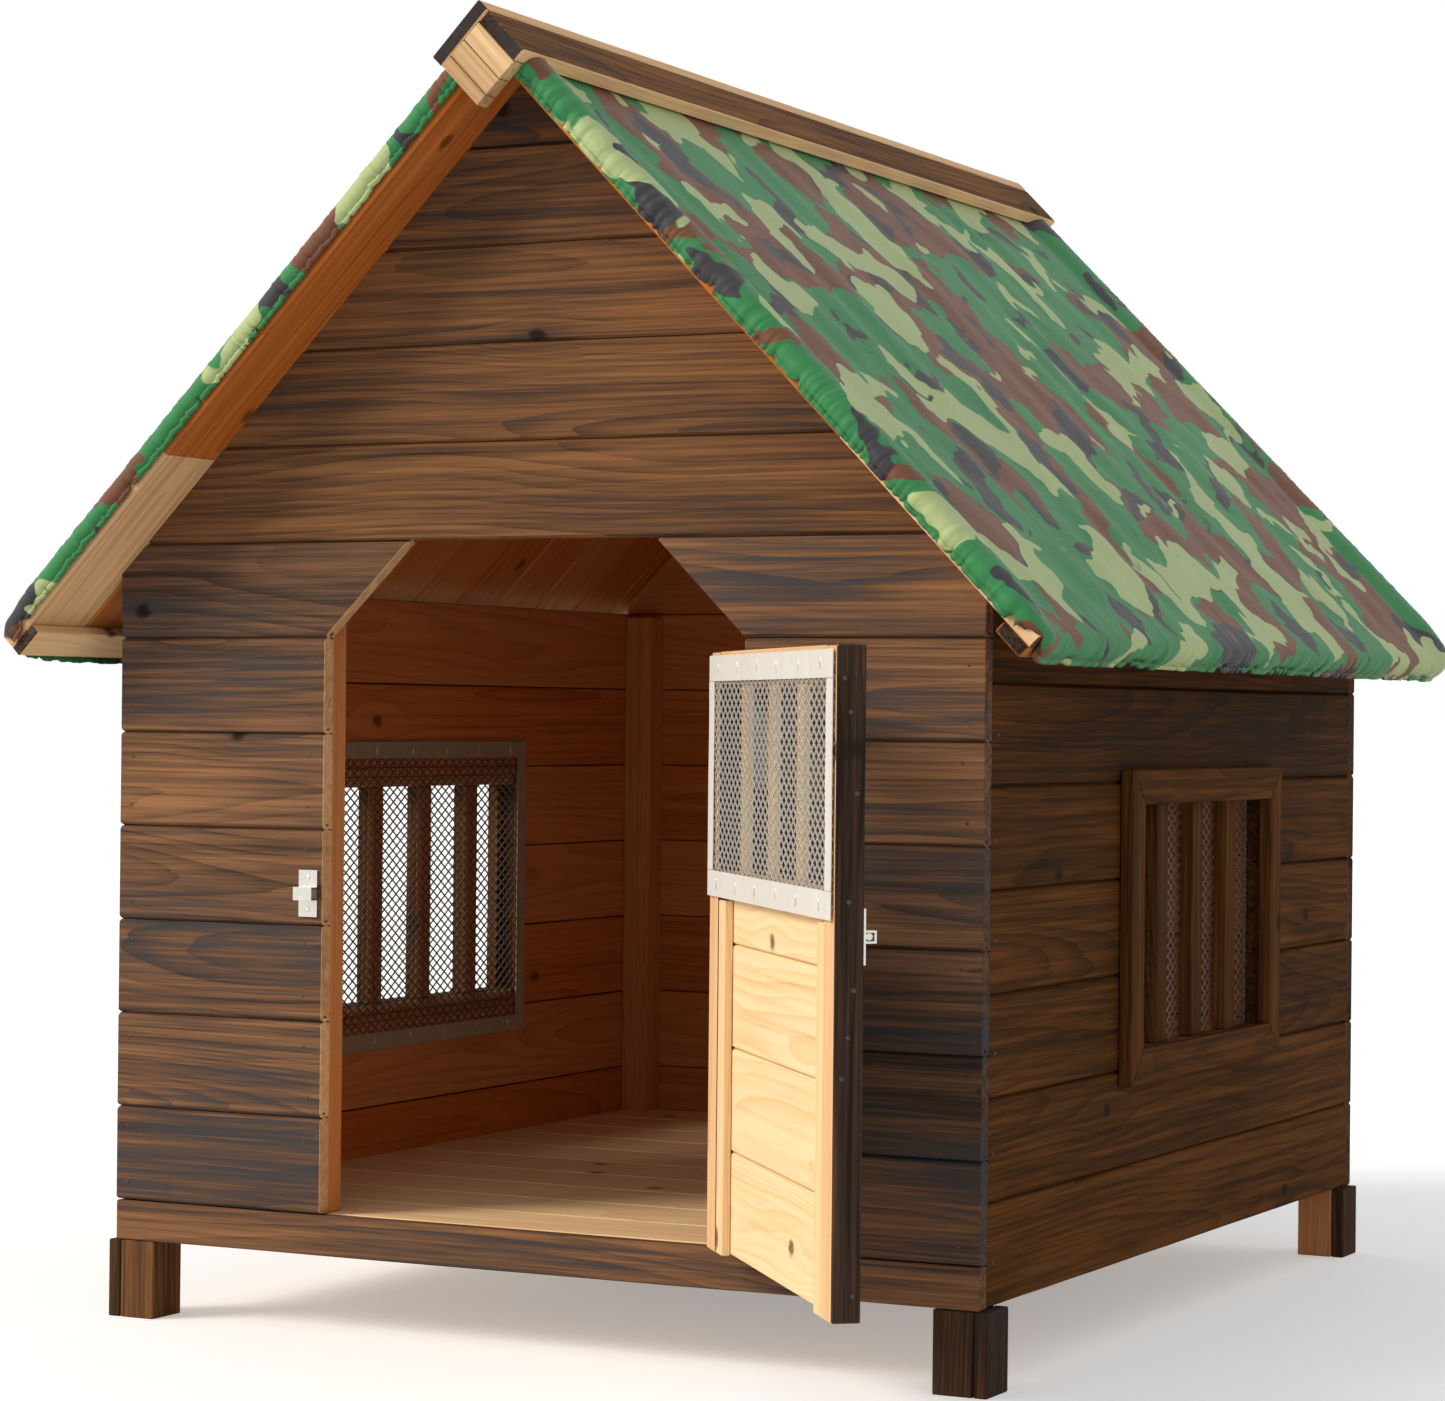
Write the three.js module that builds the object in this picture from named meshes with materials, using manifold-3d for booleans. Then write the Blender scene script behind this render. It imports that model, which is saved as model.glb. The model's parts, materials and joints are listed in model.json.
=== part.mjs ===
// A wooden dog house: four boarded walls on corner posts and feet, a pitched roof of boards under a
// gathered rain cover, barred and netted side windows, and a hinged door with a netted upper half.
// Millimetres, +Z up, +X to the house's right, +Y to its back. Inside this file the front face lies at
// y = 0 and the undersides of the walls at z = 0; the last lines move the origin to the floor, centred.
import * as THREE from "three";
import { mergeVertices } from "three/addons/utils/BufferGeometryUtils.js";
import Module from "manifold-3d";

// Fits
const SEAT = 0.3; // gap left between pieces that touch
const RUNNING = 0.5; // radial gap round a pin or a sliding rod

// Body and boards
const WIDTH = 800;
const DEPTH = 930;
const BOARD_COVER = 80; // height that one matched board covers
const BOARD_THICK = 14;
const GROOVE_WIDE = 4; // V between two boards, on the weather side
const GROOVE_DEEP = 3;
const INNER_GROOVE_WIDE = 2.4; // fine line between two boards, on the inside
const INNER_GROOVE_DEEP = 1.2;
const SILL_TALL = 34;
const SIDE_ROWS = 7;

// Doorway
const DOORWAY_WIDE = 390;
const DOORWAY_ROWS = 6; // boards beside the straight part of the doorway
const JAMB_WIDE = 22;
const JAMB_DEEP = 20;
const JAMB_TOP_SPARE = 8; // the jamb stops this far below the top of the doorway

// Posts, feet and floor
const POST = 30;
const POST_SHORT = 4; // the posts stop this far below the side boards' top
const FOOT_WIDE = 46;
const FOOT_DEEP = 42;
const FOOT_TALL = 66;
const FOOT_PROUD = 7; // a foot stands this far outside the side wall
const FLOOR_THICK = 12;
const FLOOR_BOARD_COVER = 90;

// Roof
const PITCH = THREE.MathUtils.degToRad(45.5);
const EAVE_AIR = 9; // between the side boards' top and the roof's underside, at the wall's outer face
const EAVE_PAST_WALL = 72; // from a side wall's outer face to the roof's outermost edge
const ROOF_FRONT = 70; // overhang in front of the front wall
const ROOF_REAR = 78;
const ROOF_BOARD_THICK = 12;
const EAVE_BATTEN_WIDE = 28;
const EAVE_BATTEN_THICK = 10;
const RIDGE_BEAM_WIDE = 30;
const RIDGE_BEAM_TALL = 44;

// Rain cover
const COVER_THICK = 2.4;
const COVER_LOOSE = 0.4; // air between the cover and the wood, at its edges
const COVER_CROWN = 6; // how far the slack cloth stands off the boards halfway down a slope
const COVER_LIP = 12; // gathered hem turned under the roof's edge
const COVER_CROWN_STEPS = 10;
const HEM_RADIUS = 6; // elastic drawn through the hem puckers it into beads
const HEM_PUCKER = 2.4;
const HEM_PITCH = 60;
const HEM_FROM_RIDGE = 48; // along a slope, where the hem comes out from under the ridge cap
const HEM_SIDES = 6;

// Ridge cap
const CAP_BOARD_WIDE = 60;
const CAP_BOARD_THICK = 12;
const CAP_CLEAR = 3.4; // room for the rain cover under the cap
const CAP_PAST_ROOF = 21;
const CAP_END_SQUARE = 47;
const CAP_END_THICK = 15;

// Side windows
const WINDOW_MIDDLE = 482; // from the front face to the window's middle
const WINDOW_WIDE = 326;
const WINDOW_TALL = 205;
const WINDOW_SILL = 177;
const CASING_WIDE = 29;
const CASING_THICK = 12;
const CASING_LAP = 10; // how far the casing covers the edge of the hole in the boards
const BAR_WIDE = 27;
const BAR_THICK = 12;
const BAR_COUNT = 3;
const STRIP_THICK = 1;
const WINDOW_STRIP_WIDE = 16;
const WINDOW_NET_LAP_WIDE = 14; // netting past the hole in the boards, at each side
const WINDOW_NET_LAP_TALL = 31; // and above and below it
const STRIP_PAST_NET = 2;

// Netting of expanded metal
const NET_THICK = 1.2;
const NET_STRAND = 2.4;
const NET_RIM = 6;
const NET_PITCH = 48; // from lozenge to lozenge along a row
const NET_ROW = 15.5; // from one row of lozenges to the next, half a lozenge over

// Door, in its closed place before it is swung open
const DOOR_OPEN = THREE.MathUtils.degToRad(129.7);
const DOOR_SIDE_GAP = 2;
const DOOR_FOOT_GAP = 2;
const DOOR_TALL = 466;
const DOOR_THICK = 21;
const STILE_WIDE = 30;
const TOP_RAIL_TALL = 26;
const DOOR_NET_SILL = 276; // from the door's foot to the lower edge of the netting
const DOOR_BOARD_BACK = 3.4; // how far the lower boards sit behind the stiles' outer face
const DOOR_BOARD_THICK = 10;
const DOOR_BATTEN_WIDE = 20;
const DOOR_BATTEN_THICK = 7;
const DOOR_BATTEN_SHORT = 2;
const SLAT_WIDE = 18;
const SLAT_THICK = 6;
const SLAT_BEHIND_NET = 1;
const SLAT_COUNT = 3;
const DOOR_STRIP_TALL = 20;
const DOOR_STRIP_WIDE = 16;
const DOOR_NET_INSET = 3;

// Hinges
const HINGE_TALL = 60;
const HINGE_FROM_END = 46;
const LEAF_WIDE = 24;
const LEAF_THICK = 1.5;
const KNUCKLE_RADIUS = 2.7;
const PIN_RADIUS = 1.2;
const PIN_OUT = 3; // pin line in front of the front face
const ROUND_SIDES = 16;

// Barrel bolt on the door, and its keeper on the boards beside the doorway
const BOLT_HEIGHT = 301; // rod axis above the undersides of the walls
const BOLT_OUT = 5; // rod axis in front of the face that carries it
const BOLT_ROD_RADIUS = 2.5;
const BOLT_TRAVEL = 22;
const BOLT_TIP_IN = 3; // the drawn rod's tip lies this far inside the plate's edge
const BOLT_PLATE_LONG = 60;
const BOLT_PLATE_TALL = 39;
const BOLT_PLATE_FROM_EDGE = 2;
const BOLT_GUIDE_LONG = 8;
const STRAP_THICK = 1.5; // metal over and beside the rod
const KNOB_RADIUS = 3.2;
const KNOB_OUT = 14;
const KNOB_FROM_GUIDE = 1;
const KEEPER_WIDE = 18;
const KEEPER_FROM_DOORWAY = 4;
const KEEPER_PLAY = 1.5; // the keeper lets the rod in with more room than its guides

// Worked-out sizes
const HALF = WIDTH / 2;
const SLOPE = Math.tan(PITCH);
const SIDE_TOP = SIDE_ROWS * BOARD_COVER;
const SHOULDER = SIDE_TOP + EAVE_AIR;
const EAVE_OUT = HALF + EAVE_PAST_WALL;
const RIDGE = SHOULDER + HALF * SLOPE; // where the two undersides of the roof meet
const HALF_DOORWAY = DOORWAY_WIDE / 2;
const BACK_INSIDE = DEPTH - BOARD_THICK;
const SIDE_INSIDE = HALF - BOARD_THICK;
const DOORWAY_SHOULDER = SILL_TALL + DOORWAY_ROWS * BOARD_COVER;
const DOORWAY_TOP = DOORWAY_SHOULDER + BOARD_COVER;
const SLOPE_LONG = (EAVE_OUT - ROOF_BOARD_THICK * Math.sin(PITCH)) / Math.cos(PITCH);
const ROOF_START = -ROOF_FRONT;
const ROOF_END = DEPTH + ROOF_REAR;
const PIN_X = HALF_DOORWAY - DOOR_SIDE_GAP / 2; // the pin stands over the gap at the door's edge
const DOOR_FOOT = SILL_TALL + DOOR_FOOT_GAP;
const HINGE_EDGE = HALF_DOORWAY - DOOR_SIDE_GAP - PIN_X; // the door's edges, measured from the pin
const FREE_EDGE = DOOR_SIDE_GAP - HALF_DOORWAY - PIN_X;

const SIDES = [["left", -1], ["right", 1]];

// Finishes
const charred = new THREE.MeshStandardMaterial({ color: 0x5a3a22, roughness: 0.75, metalness: 0 });
const bare = new THREE.MeshStandardMaterial({ color: 0xd9a870, roughness: 0.7, metalness: 0 });
const steel = new THREE.MeshStandardMaterial({ color: 0xb9bcc0, roughness: 0.35, metalness: 1 });
const aluminium = new THREE.MeshStandardMaterial({ color: 0xd8dadb, roughness: 0.4, metalness: 1 });
const netting = new THREE.MeshStandardMaterial({ color: 0x5c5f61, roughness: 0.5, metalness: 1 });
const cloth = new THREE.MeshStandardMaterial({ color: 0x5e7f57, roughness: 0.8, metalness: 0 });

const wasm = await Module();
wasm.setup();

// ---------------------------------------------------------------- solids

// The closed solid of a geometry, for cutting and joining.
function solid(geometry) {
  const corners = geometry.clone();
  corners.deleteAttribute("normal");
  corners.deleteAttribute("uv");
  const merged = mergeVertices(corners, 1e-3);
  return new wasm.Manifold(
    new wasm.Mesh({
      numProp: 3,
      vertProperties: merged.attributes.position.array,
      triVerts: new Uint32Array(merged.index.array),
    }),
  );
}

function geometryOf(shape) {
  const mesh = shape.getMesh();
  const geometry = new THREE.BufferGeometry();
  geometry.setAttribute("position", new THREE.BufferAttribute(mesh.vertProperties, 3));
  geometry.setIndex(new THREE.BufferAttribute(mesh.triVerts, 1));
  return geometry;
}

// A box between two corners.
function block(x, y, z) {
  const geometry = new THREE.BoxGeometry(x[1] - x[0], y[1] - y[0], z[1] - z[0]);
  return geometry.translate((x[0] + x[1]) / 2, (y[0] + y[1]) / 2, (z[0] + z[1]) / 2);
}

// A prism: the outline's first axis along `across`, its second along `up`, its length along their cross.
function prism(points, length, across, up, start, holes = []) {
  const shape = new THREE.Shape(points.map(([a, b]) => new THREE.Vector2(a, b)));
  shape.holes = holes.map((hole) => new THREE.Path(hole.map(([a, b]) => new THREE.Vector2(a, b))));
  const geometry = new THREE.ExtrudeGeometry(shape, { depth: length, bevelEnabled: false });
  const along = new THREE.Vector3().crossVectors(across, up);
  const place = new THREE.Matrix4().makeBasis(across, up, along).setPosition(start);
  return geometry.applyMatrix4(place);
}

// Two coordinates, the lower one first.
function between(a, b) {
  return [Math.min(a, b), Math.max(a, b)];
}

const X = new THREE.Vector3(1, 0, 0);
const Y = new THREE.Vector3(0, 1, 0);
const Z = new THREE.Vector3(0, 0, 1);

// A prism whose outline is drawn in x and z, from y0 back to y1.
function prismAlongY(points, y0, y1, holes) {
  return prism(points, y1 - y0, X, Z, new THREE.Vector3(0, y1, 0), holes);
}

// A prism whose outline is drawn in y and z, from x0 to x1.
function prismAlongX(points, x0, x1, holes) {
  return prism(points, x1 - x0, Y, Z, new THREE.Vector3(x0, 0, 0), holes);
}

// A rectangle's corners round its middle.
function centred([a, b], wide, tall) {
  return [[-1, -1], [1, -1], [1, 1], [-1, 1]].map(([p, q]) => [a + (p * wide) / 2, b + (q * tall) / 2]);
}

function circle(centre, radius) {
  return Array.from({ length: ROUND_SIDES }, (_, i) => {
    const turn = (2 * Math.PI * i) / ROUND_SIDES;
    return [centre[0] + radius * Math.cos(turn), centre[1] + radius * Math.sin(turn)];
  });
}

function mesh(name, geometry, finish, parent) {
  const piece = new THREE.Mesh(geometry, finish);
  piece.name = name;
  parent.add(piece);
}

// ---------------------------------------------------------------- boards

// The end of a stack of matched boards: weather face at 0, inside face at `thick`, joints as V grooves.
function boardEnds(bottom, top, joints, thick) {
  const inside = joints.filter((joint) => joint > bottom + GROOVE_WIDE && joint < top - GROOVE_WIDE);
  const weather = inside.flatMap((joint) => [
    [0, joint - GROOVE_WIDE / 2],
    [GROOVE_DEEP, joint],
    [0, joint + GROOVE_WIDE / 2],
  ]);
  const room = inside.toReversed().flatMap((joint) => [
    [thick, joint + INNER_GROOVE_WIDE / 2],
    [thick - INNER_GROOVE_DEEP, joint],
    [thick, joint - INNER_GROOVE_WIDE / 2],
  ]);
  return [[0, bottom], ...weather, [0, top], [thick, top], ...room, [thick, bottom]].toReversed();
}

// Heights of the joints between rows of boards that start at `first`.
function jointsFrom(first, top, cover = BOARD_COVER) {
  const count = Math.ceil((top - first) / cover);
  return Array.from({ length: Math.max(count, 0) }, (_, row) => first + row * cover);
}

// Boards of a front or back wall from x0 to x1, weather face at y = face, looking along `inward`.
function wallAcross(x, z, firstJoint, face, inward) {
  const ends = boardEnds(z[0], z[1], jointsFrom(firstJoint, z[1]), BOARD_THICK);
  const into = Y.clone().multiplyScalar(inward);
  const start = new THREE.Vector3(inward > 0 ? x[0] : x[1], face, 0);
  return prism(ends, x[1] - x[0], into, Z, start);
}

// Boards of a side wall from y0 to y1, on the given side of the house.
function wallAlong(side, y, z) {
  const ends = boardEnds(z[0], z[1], jointsFrom(0, z[1]), BOARD_THICK);
  const into = X.clone().multiplyScalar(-side);
  const start = new THREE.Vector3(side * HALF, side > 0 ? y[0] : y[1], 0);
  return prism(ends, y[1] - y[0], into, Z, start);
}

// Height of the roof's underside over a given distance from the middle, less the seat gap.
function underRoof(x) {
  return RIDGE - Math.abs(x) * SLOPE - SEAT / Math.cos(PITCH);
}

// ---------------------------------------------------------------- walls

// The outline of a gable wall, from below the boards up to the roof's underside.
const GABLE = [
  [-HALF, -1],
  [HALF, -1],
  [HALF, underRoof(HALF)],
  [0, underRoof(0)],
  [-HALF, underRoof(HALF)],
];

// The doorway's outline, with its upper corners cut at 45 degrees across one row of boards.
const DOORWAY = [
  [-HALF_DOORWAY, 0],
  [HALF_DOORWAY, 0],
  [HALF_DOORWAY, DOORWAY_SHOULDER],
  [HALF_DOORWAY - BOARD_COVER, DOORWAY_TOP],
  [BOARD_COVER - HALF_DOORWAY, DOORWAY_TOP],
  [-HALF_DOORWAY, DOORWAY_SHOULDER],
];

function frontWall(walls) {
  const y = [-1, BOARD_THICK + 1];
  const gable = solid(prismAlongY(GABLE, ...y));
  const whole = solid(wallAcross([-HALF, HALF], [SILL_TALL, RIDGE], SILL_TALL, 0, 1)).intersect(gable);
  const open = whole.subtract(solid(prismAlongY(DOORWAY, ...y)));
  const rows = {
    boards: [SILL_TALL - 1, DOORWAY_SHOULDER - SEAT],
    header: [DOORWAY_SHOULDER, DOORWAY_TOP - SEAT],
  };
  const halves = { left: [-HALF - 1, 0], right: [0, HALF + 1] };
  mesh("sill_board", block([-HALF, HALF], [0, BOARD_THICK], [0, SILL_TALL - SEAT]), charred, walls);
  for (const [row, z] of Object.entries(rows)) {
    for (const [name, x] of Object.entries(halves)) {
      mesh(`front_${row}_${name}`, geometryOf(open.intersect(solid(block(x, y, z)))), charred, walls);
    }
  }
  const above = solid(block([-HALF - 1, HALF + 1], y, [DOORWAY_TOP, RIDGE]));
  mesh("front_gable_boards", geometryOf(whole.intersect(above)), charred, walls);

  for (const [name, side] of SIDES) {
    const x = between(side * HALF_DOORWAY, side * (HALF_DOORWAY + JAMB_WIDE));
    const inside = [BOARD_THICK + SEAT, BOARD_THICK + SEAT + JAMB_DEEP];
    const z = [SILL_TALL + SEAT, DOORWAY_TOP - JAMB_TOP_SPARE];
    mesh(`jamb_batten_${name}`, block(x, inside, z), bare, walls);
  }
}

function backWall(walls) {
  const boards = solid(wallAcross([-HALF, HALF], [0, RIDGE], 0, DEPTH, -1));
  const outline = solid(prismAlongY(GABLE, BACK_INSIDE - 1, DEPTH + 1));
  mesh("back_wall_boards", geometryOf(boards.intersect(outline)), charred, walls);
}

function sideWall(name, side, walls) {
  const y = [BOARD_THICK + SEAT, BACK_INSIDE - SEAT];
  const boards = solid(wallAlong(side, y, [0, SIDE_TOP]));
  const hole = windowHole();
  const through = [side * HALF - 2 * BOARD_THICK, side * HALF + 2 * BOARD_THICK];
  const cut = boards.subtract(solid(block(through, hole.y, hole.z)));
  mesh(`side_boards_${name}`, geometryOf(cut), charred, walls);
}

function postsAndFeet(walls) {
  const inner = SIDE_INSIDE - SEAT;
  const outer = HALF + FOOT_PROUD;
  const ends = {
    front: { post: [BOARD_THICK + SEAT, BOARD_THICK + SEAT + POST], foot: [0, FOOT_DEEP] },
    rear: { post: [BACK_INSIDE - SEAT - POST, BACK_INSIDE - SEAT], foot: [DEPTH - FOOT_DEEP, DEPTH] },
  };
  for (const [end, y] of Object.entries(ends)) {
    for (const [name, side] of SIDES) {
      const post = between(side * inner, side * (inner - POST));
      mesh(`corner_post_${end}_${name}`, block(post, y.post, [0, SIDE_TOP - POST_SHORT]), bare, walls);
      const foot = between(side * outer, side * (outer - FOOT_WIDE));
      mesh(`foot_${end}_${name}`, block(foot, y.foot, [-FOOT_TALL, -SEAT]), charred, walls);
    }
  }
}

// Floor boards run across the house, notched round the corner posts, on a bearer along each side.
function floor(walls) {
  const inner = SIDE_INSIDE - SEAT;
  const y = [BOARD_THICK + SEAT, BACK_INSIDE - SEAT];
  const ends = boardEnds(y[0], y[1], jointsFrom(y[0], y[1], FLOOR_BOARD_COVER), FLOOR_THICK)
    .map(([down, along]) => [along, SILL_TALL - down]);
  let boards = solid(prismAlongX(ends.toReversed(), -inner, inner));
  const notch = POST + SEAT;
  for (const [name, side] of SIDES) {
    const x = between(side * (inner + 1), side * (inner - notch));
    for (const corner of [[y[0] - 1, y[0] + notch], [y[1] - notch, y[1] + 1]]) {
      boards = boards.subtract(solid(block(x, corner, [0, 2 * SILL_TALL])));
    }
    const bearer = between(side * inner, side * (inner - POST));
    const along = [y[0] + notch, y[1] - notch];
    const z = [0, SILL_TALL - FLOOR_THICK - SEAT];
    mesh(`floor_bearer_${name}`, block(bearer, along, z), bare, walls);
  }
  mesh("floor_boards", geometryOf(boards), bare, walls);
}

// ---------------------------------------------------------------- side windows

// The hole in the side boards: the clear window, and the edge that the casing covers.
function windowHole() {
  const halfWide = WINDOW_WIDE / 2 + CASING_LAP;
  return {
    y: [WINDOW_MIDDLE - halfWide, WINDOW_MIDDLE + halfWide],
    z: [WINDOW_SILL - CASING_LAP, WINDOW_SILL + WINDOW_TALL + CASING_LAP],
  };
}

// A flat net round a middle point: its outline, and rows of lozenge holes, each row half a step over.
function netSection(middle, wide, tall) {
  const columns = Math.max(1, Math.round((wide - 2 * NET_RIM) / NET_PITCH));
  const rows = Math.max(2, Math.round((tall - 2 * NET_RIM) / NET_ROW));
  const step = [(wide - 2 * NET_RIM) / columns, (tall - 2 * NET_RIM) / rows];
  const cell = [step[0] / 2, step[1]];
  const shrink = 1 - (NET_STRAND * Math.hypot(...cell)) / (2 * cell[0] * cell[1]);
  const half = [cell[0] * shrink, cell[1] * shrink];
  const low = [middle[0] - wide / 2 + NET_RIM, middle[1] - tall / 2 + NET_RIM];
  const holes = [];
  for (let row = 1; row < rows; row += 1) {
    const odd = row % 2;
    for (let column = 0; column < columns - odd; column += 1) {
      const a = low[0] + step[0] * (column + (1 + odd) / 2);
      const b = low[1] + step[1] * row;
      holes.push([[a - half[0], b], [a, b - half[1]], [a + half[0], b], [a, b + half[1]]]);
    }
  }
  return { outline: centred(middle, wide, tall), holes };
}

// A net's outline cut through by its holes, both drawn by `draw` between two depths.
function netSheet(net, draw, near, far) {
  const holes = net.holes.map((hole) => solid(draw(hole, near - NET_THICK, far + NET_THICK)));
  return geometryOf(solid(draw(net.outline, near, far)).subtract(wasm.Manifold.union(holes)));
}

function sideWindow(name, side, walls) {
  const hole = windowHole();
  const middle = [WINDOW_MIDDLE, WINDOW_SILL + WINDOW_TALL / 2];
  const layer = (near, thick) => between(side * near, side * (near + thick));
  const casing = centred(middle, WINDOW_WIDE + 2 * CASING_WIDE, WINDOW_TALL + 2 * CASING_WIDE);
  const clear = centred(middle, WINDOW_WIDE, WINDOW_TALL);
  mesh(`window_casing_${name}`,
    prismAlongX(casing, ...layer(HALF + SEAT, CASING_THICK), [clear]), charred, walls);
  const bars = windowBars(layer(HALF - BAR_THICK, BAR_THICK), hole);
  mesh(`window_bars_${name}`, geometryOf(bars), charred, walls);

  const netWide = hole.y[1] - hole.y[0] + 2 * WINDOW_NET_LAP_WIDE;
  const netTall = hole.z[1] - hole.z[0] + 2 * WINDOW_NET_LAP_TALL;
  const net = netSection(middle, netWide, netTall);
  const netFace = SIDE_INSIDE - SEAT - NET_THICK;
  const netDepths = layer(netFace, NET_THICK);
  mesh(`window_net_${name}`, netSheet(net, prismAlongX, ...netDepths), netting, walls);

  const outer = [netWide + 2 * STRIP_PAST_NET, netTall + 2 * STRIP_PAST_NET];
  const inner = centred(middle, outer[0] - 2 * WINDOW_STRIP_WIDE, outer[1] - 2 * WINDOW_STRIP_WIDE);
  mesh(`window_strips_${name}`,
    prismAlongX(centred(middle, ...outer), ...layer(netFace - SEAT - STRIP_THICK, STRIP_THICK), [inner]),
    aluminium, walls);
}

// Upright bars and the two rails that carry them fill the hole in the wall, behind the casing.
function windowBars(x, hole) {
  const y = [hole.y[0] + SEAT, hole.y[1] - SEAT];
  const z = [hole.z[0] + SEAT, hole.z[1] - SEAT];
  const rail = CASING_LAP - SEAT;
  let bars = solid(block(x, y, [z[0], z[0] + rail])).add(solid(block(x, y, [z[1] - rail, z[1]])));
  const gap = (WINDOW_WIDE - BAR_COUNT * BAR_WIDE) / (BAR_COUNT + 1);
  for (let bar = 0; bar < BAR_COUNT; bar += 1) {
    const start = WINDOW_MIDDLE - WINDOW_WIDE / 2 + gap + bar * (gap + BAR_WIDE);
    bars = bars.add(solid(block(x, [start, start + BAR_WIDE], z)));
  }
  return bars;
}

// ---------------------------------------------------------------- roof

// A point of a slope's cross-section: `along` down the slope's underside, `off` square to it.
function slopePoint(side, along, off) {
  return [
    side * (along * Math.cos(PITCH) + off * Math.sin(PITCH)),
    RIDGE - along * Math.sin(PITCH) + off * Math.cos(PITCH),
  ];
}

// A board that lies on a slope: a strip of its cross-section, drawn the whole length of the roof.
function slopeStrip(side, along, off, y) {
  const points = [[along[0], off[0]], [along[1], off[0]], [along[1], off[1]], [along[0], off[1]]]
    .map(([a, b]) => slopePoint(side, a, b));
  return prismAlongY(side > 0 ? points.toReversed() : points, y[0], y[1]);
}

// Roof boards run from the ridge down to the eave, with their joints showing on the underside.
function roofBoards(name, side, roof) {
  const ends = boardEnds(ROOF_START, ROOF_END, jointsFrom(ROOF_START, ROOF_END), ROOF_BOARD_THICK);
  const down = new THREE.Vector3(side * Math.cos(PITCH), 0, -Math.sin(PITCH));
  const out = new THREE.Vector3(side * Math.sin(PITCH), 0, Math.cos(PITCH));
  const ridge = new THREE.Vector3(0, 0, RIDGE).addScaledVector(down, SEAT);
  const far = ridge.clone().addScaledVector(down, SLOPE_LONG - SEAT);
  mesh(`roof_boards_${name}`,
    prism(ends, SLOPE_LONG - SEAT, out, Y, side > 0 ? far : ridge), bare, roof);
}

function roofTimber(roof) {
  for (const [name, side] of SIDES) {
    roofBoards(name, side, roof);
    mesh(`eave_batten_${name}`, slopeStrip(side, [SLOPE_LONG - EAVE_BATTEN_WIDE, SLOPE_LONG],
      [-SEAT - EAVE_BATTEN_THICK, -SEAT], [ROOF_START, ROOF_END]), bare, roof);
  }
  const half = RIDGE_BEAM_WIDE / 2;
  const beam = [
    [-half, underRoof(half) - RIDGE_BEAM_TALL],
    [half, underRoof(half) - RIDGE_BEAM_TALL],
    [half, underRoof(half)],
    [0, underRoof(0)],
    [-half, underRoof(half)],
  ];
  mesh("ridge_beam", prismAlongY(beam, BOARD_THICK + SEAT, BACK_INSIDE - SEAT), bare, roof);
}

// A cross-section over both slopes, from `bottom` to `top` off the boards' underside, its top crowned
// below the ridge cap and its eaves `past` the ends of the boards.
function coverSection(top, bottom, past) {
  const crownFrom = CAP_BOARD_WIDE;
  const half = (side) => {
    const points = [slopePoint(side, crownFrom, top)];
    for (let i = 1; i < COVER_CROWN_STEPS; i += 1) {
      const share = i / COVER_CROWN_STEPS;
      const rise = COVER_CROWN * 4 * share * (1 - share);
      points.push(slopePoint(side, crownFrom + share * (SLOPE_LONG - crownFrom), top + rise));
    }
    points.push(slopePoint(side, SLOPE_LONG + past, top));
    points.push(slopePoint(side, SLOPE_LONG + past, bottom));
    return points;
  };
  const ridgeTop = [0, RIDGE + top / Math.cos(PITCH)];
  const ridgeUnder = [0, RIDGE + bottom / Math.cos(PITCH)];
  return [ridgeUnder, ...half(1).toReversed(), ridgeTop, ...half(-1)];
}

function rainCover(roof) {
  const skin = COVER_LOOSE + COVER_THICK;
  const top = ROOF_BOARD_THICK + COVER_LOOSE;
  const bottom = -SEAT - EAVE_BATTEN_THICK - COVER_LOOSE;
  const y = [ROOF_START - skin, ROOF_END + skin];
  let cover = solid(prismAlongY(coverSection(top + COVER_THICK, bottom - COVER_THICK, skin), ...y));
  for (const side of [-1, 1]) {
    const at = (along, depth) => {
      const [x, z] = slopePoint(side, along, bottom - COVER_THICK + HEM_RADIUS);
      return new THREE.Vector3(x, depth, z);
    };
    const eave = SLOPE_LONG + skin - HEM_RADIUS;
    const front = y[0] + HEM_RADIUS;
    const rear = y[1] - HEM_RADIUS;
    cover = cover.add(hemRoll(at(eave, front), at(eave, rear)));
    for (const depth of [front, rear]) {
      cover = cover.add(hemRoll(at(HEM_FROM_RIDGE, depth), at(eave, depth)));
    }
  }
  const room = [ROOF_START - COVER_LOOSE, ROOF_END + COVER_LOOSE];
  const inside = solid(prismAlongY(coverSection(top, bottom, COVER_LOOSE), ...room));
  const mouthSection = coverSection(0, bottom - HEM_RADIUS - COVER_THICK, -COVER_LIP);
  const mouth = solid(prismAlongY(mouthSection, ROOF_START + COVER_LIP, ROOF_END - COVER_LIP));
  mesh("rain_cover", geometryOf(cover.subtract(inside).subtract(mouth)), cloth, roof);
}

// A puckered roll of hem between two points, beads at an even pitch.
function hemRoll(from, to) {
  const along = to.clone().sub(from);
  const beads = Math.max(1, Math.round(along.length() / HEM_PITCH));
  const half = along.length() / (2 * beads);
  const profile = [new THREE.Vector2(0, 0)];
  for (let ring = 0; ring <= 2 * beads; ring += 1) {
    const radius = ring % 2 ? HEM_RADIUS + HEM_PUCKER / 2 : HEM_RADIUS - HEM_PUCKER / 2;
    profile.push(new THREE.Vector2(radius, ring * half));
  }
  profile.push(new THREE.Vector2(0, along.length()));
  const geometry = new THREE.LatheGeometry(profile, HEM_SIDES);
  const turn = new THREE.Quaternion().setFromUnitVectors(Y, along.normalize());
  return solid(geometry.applyQuaternion(turn).translate(from.x, from.y, from.z));
}

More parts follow.
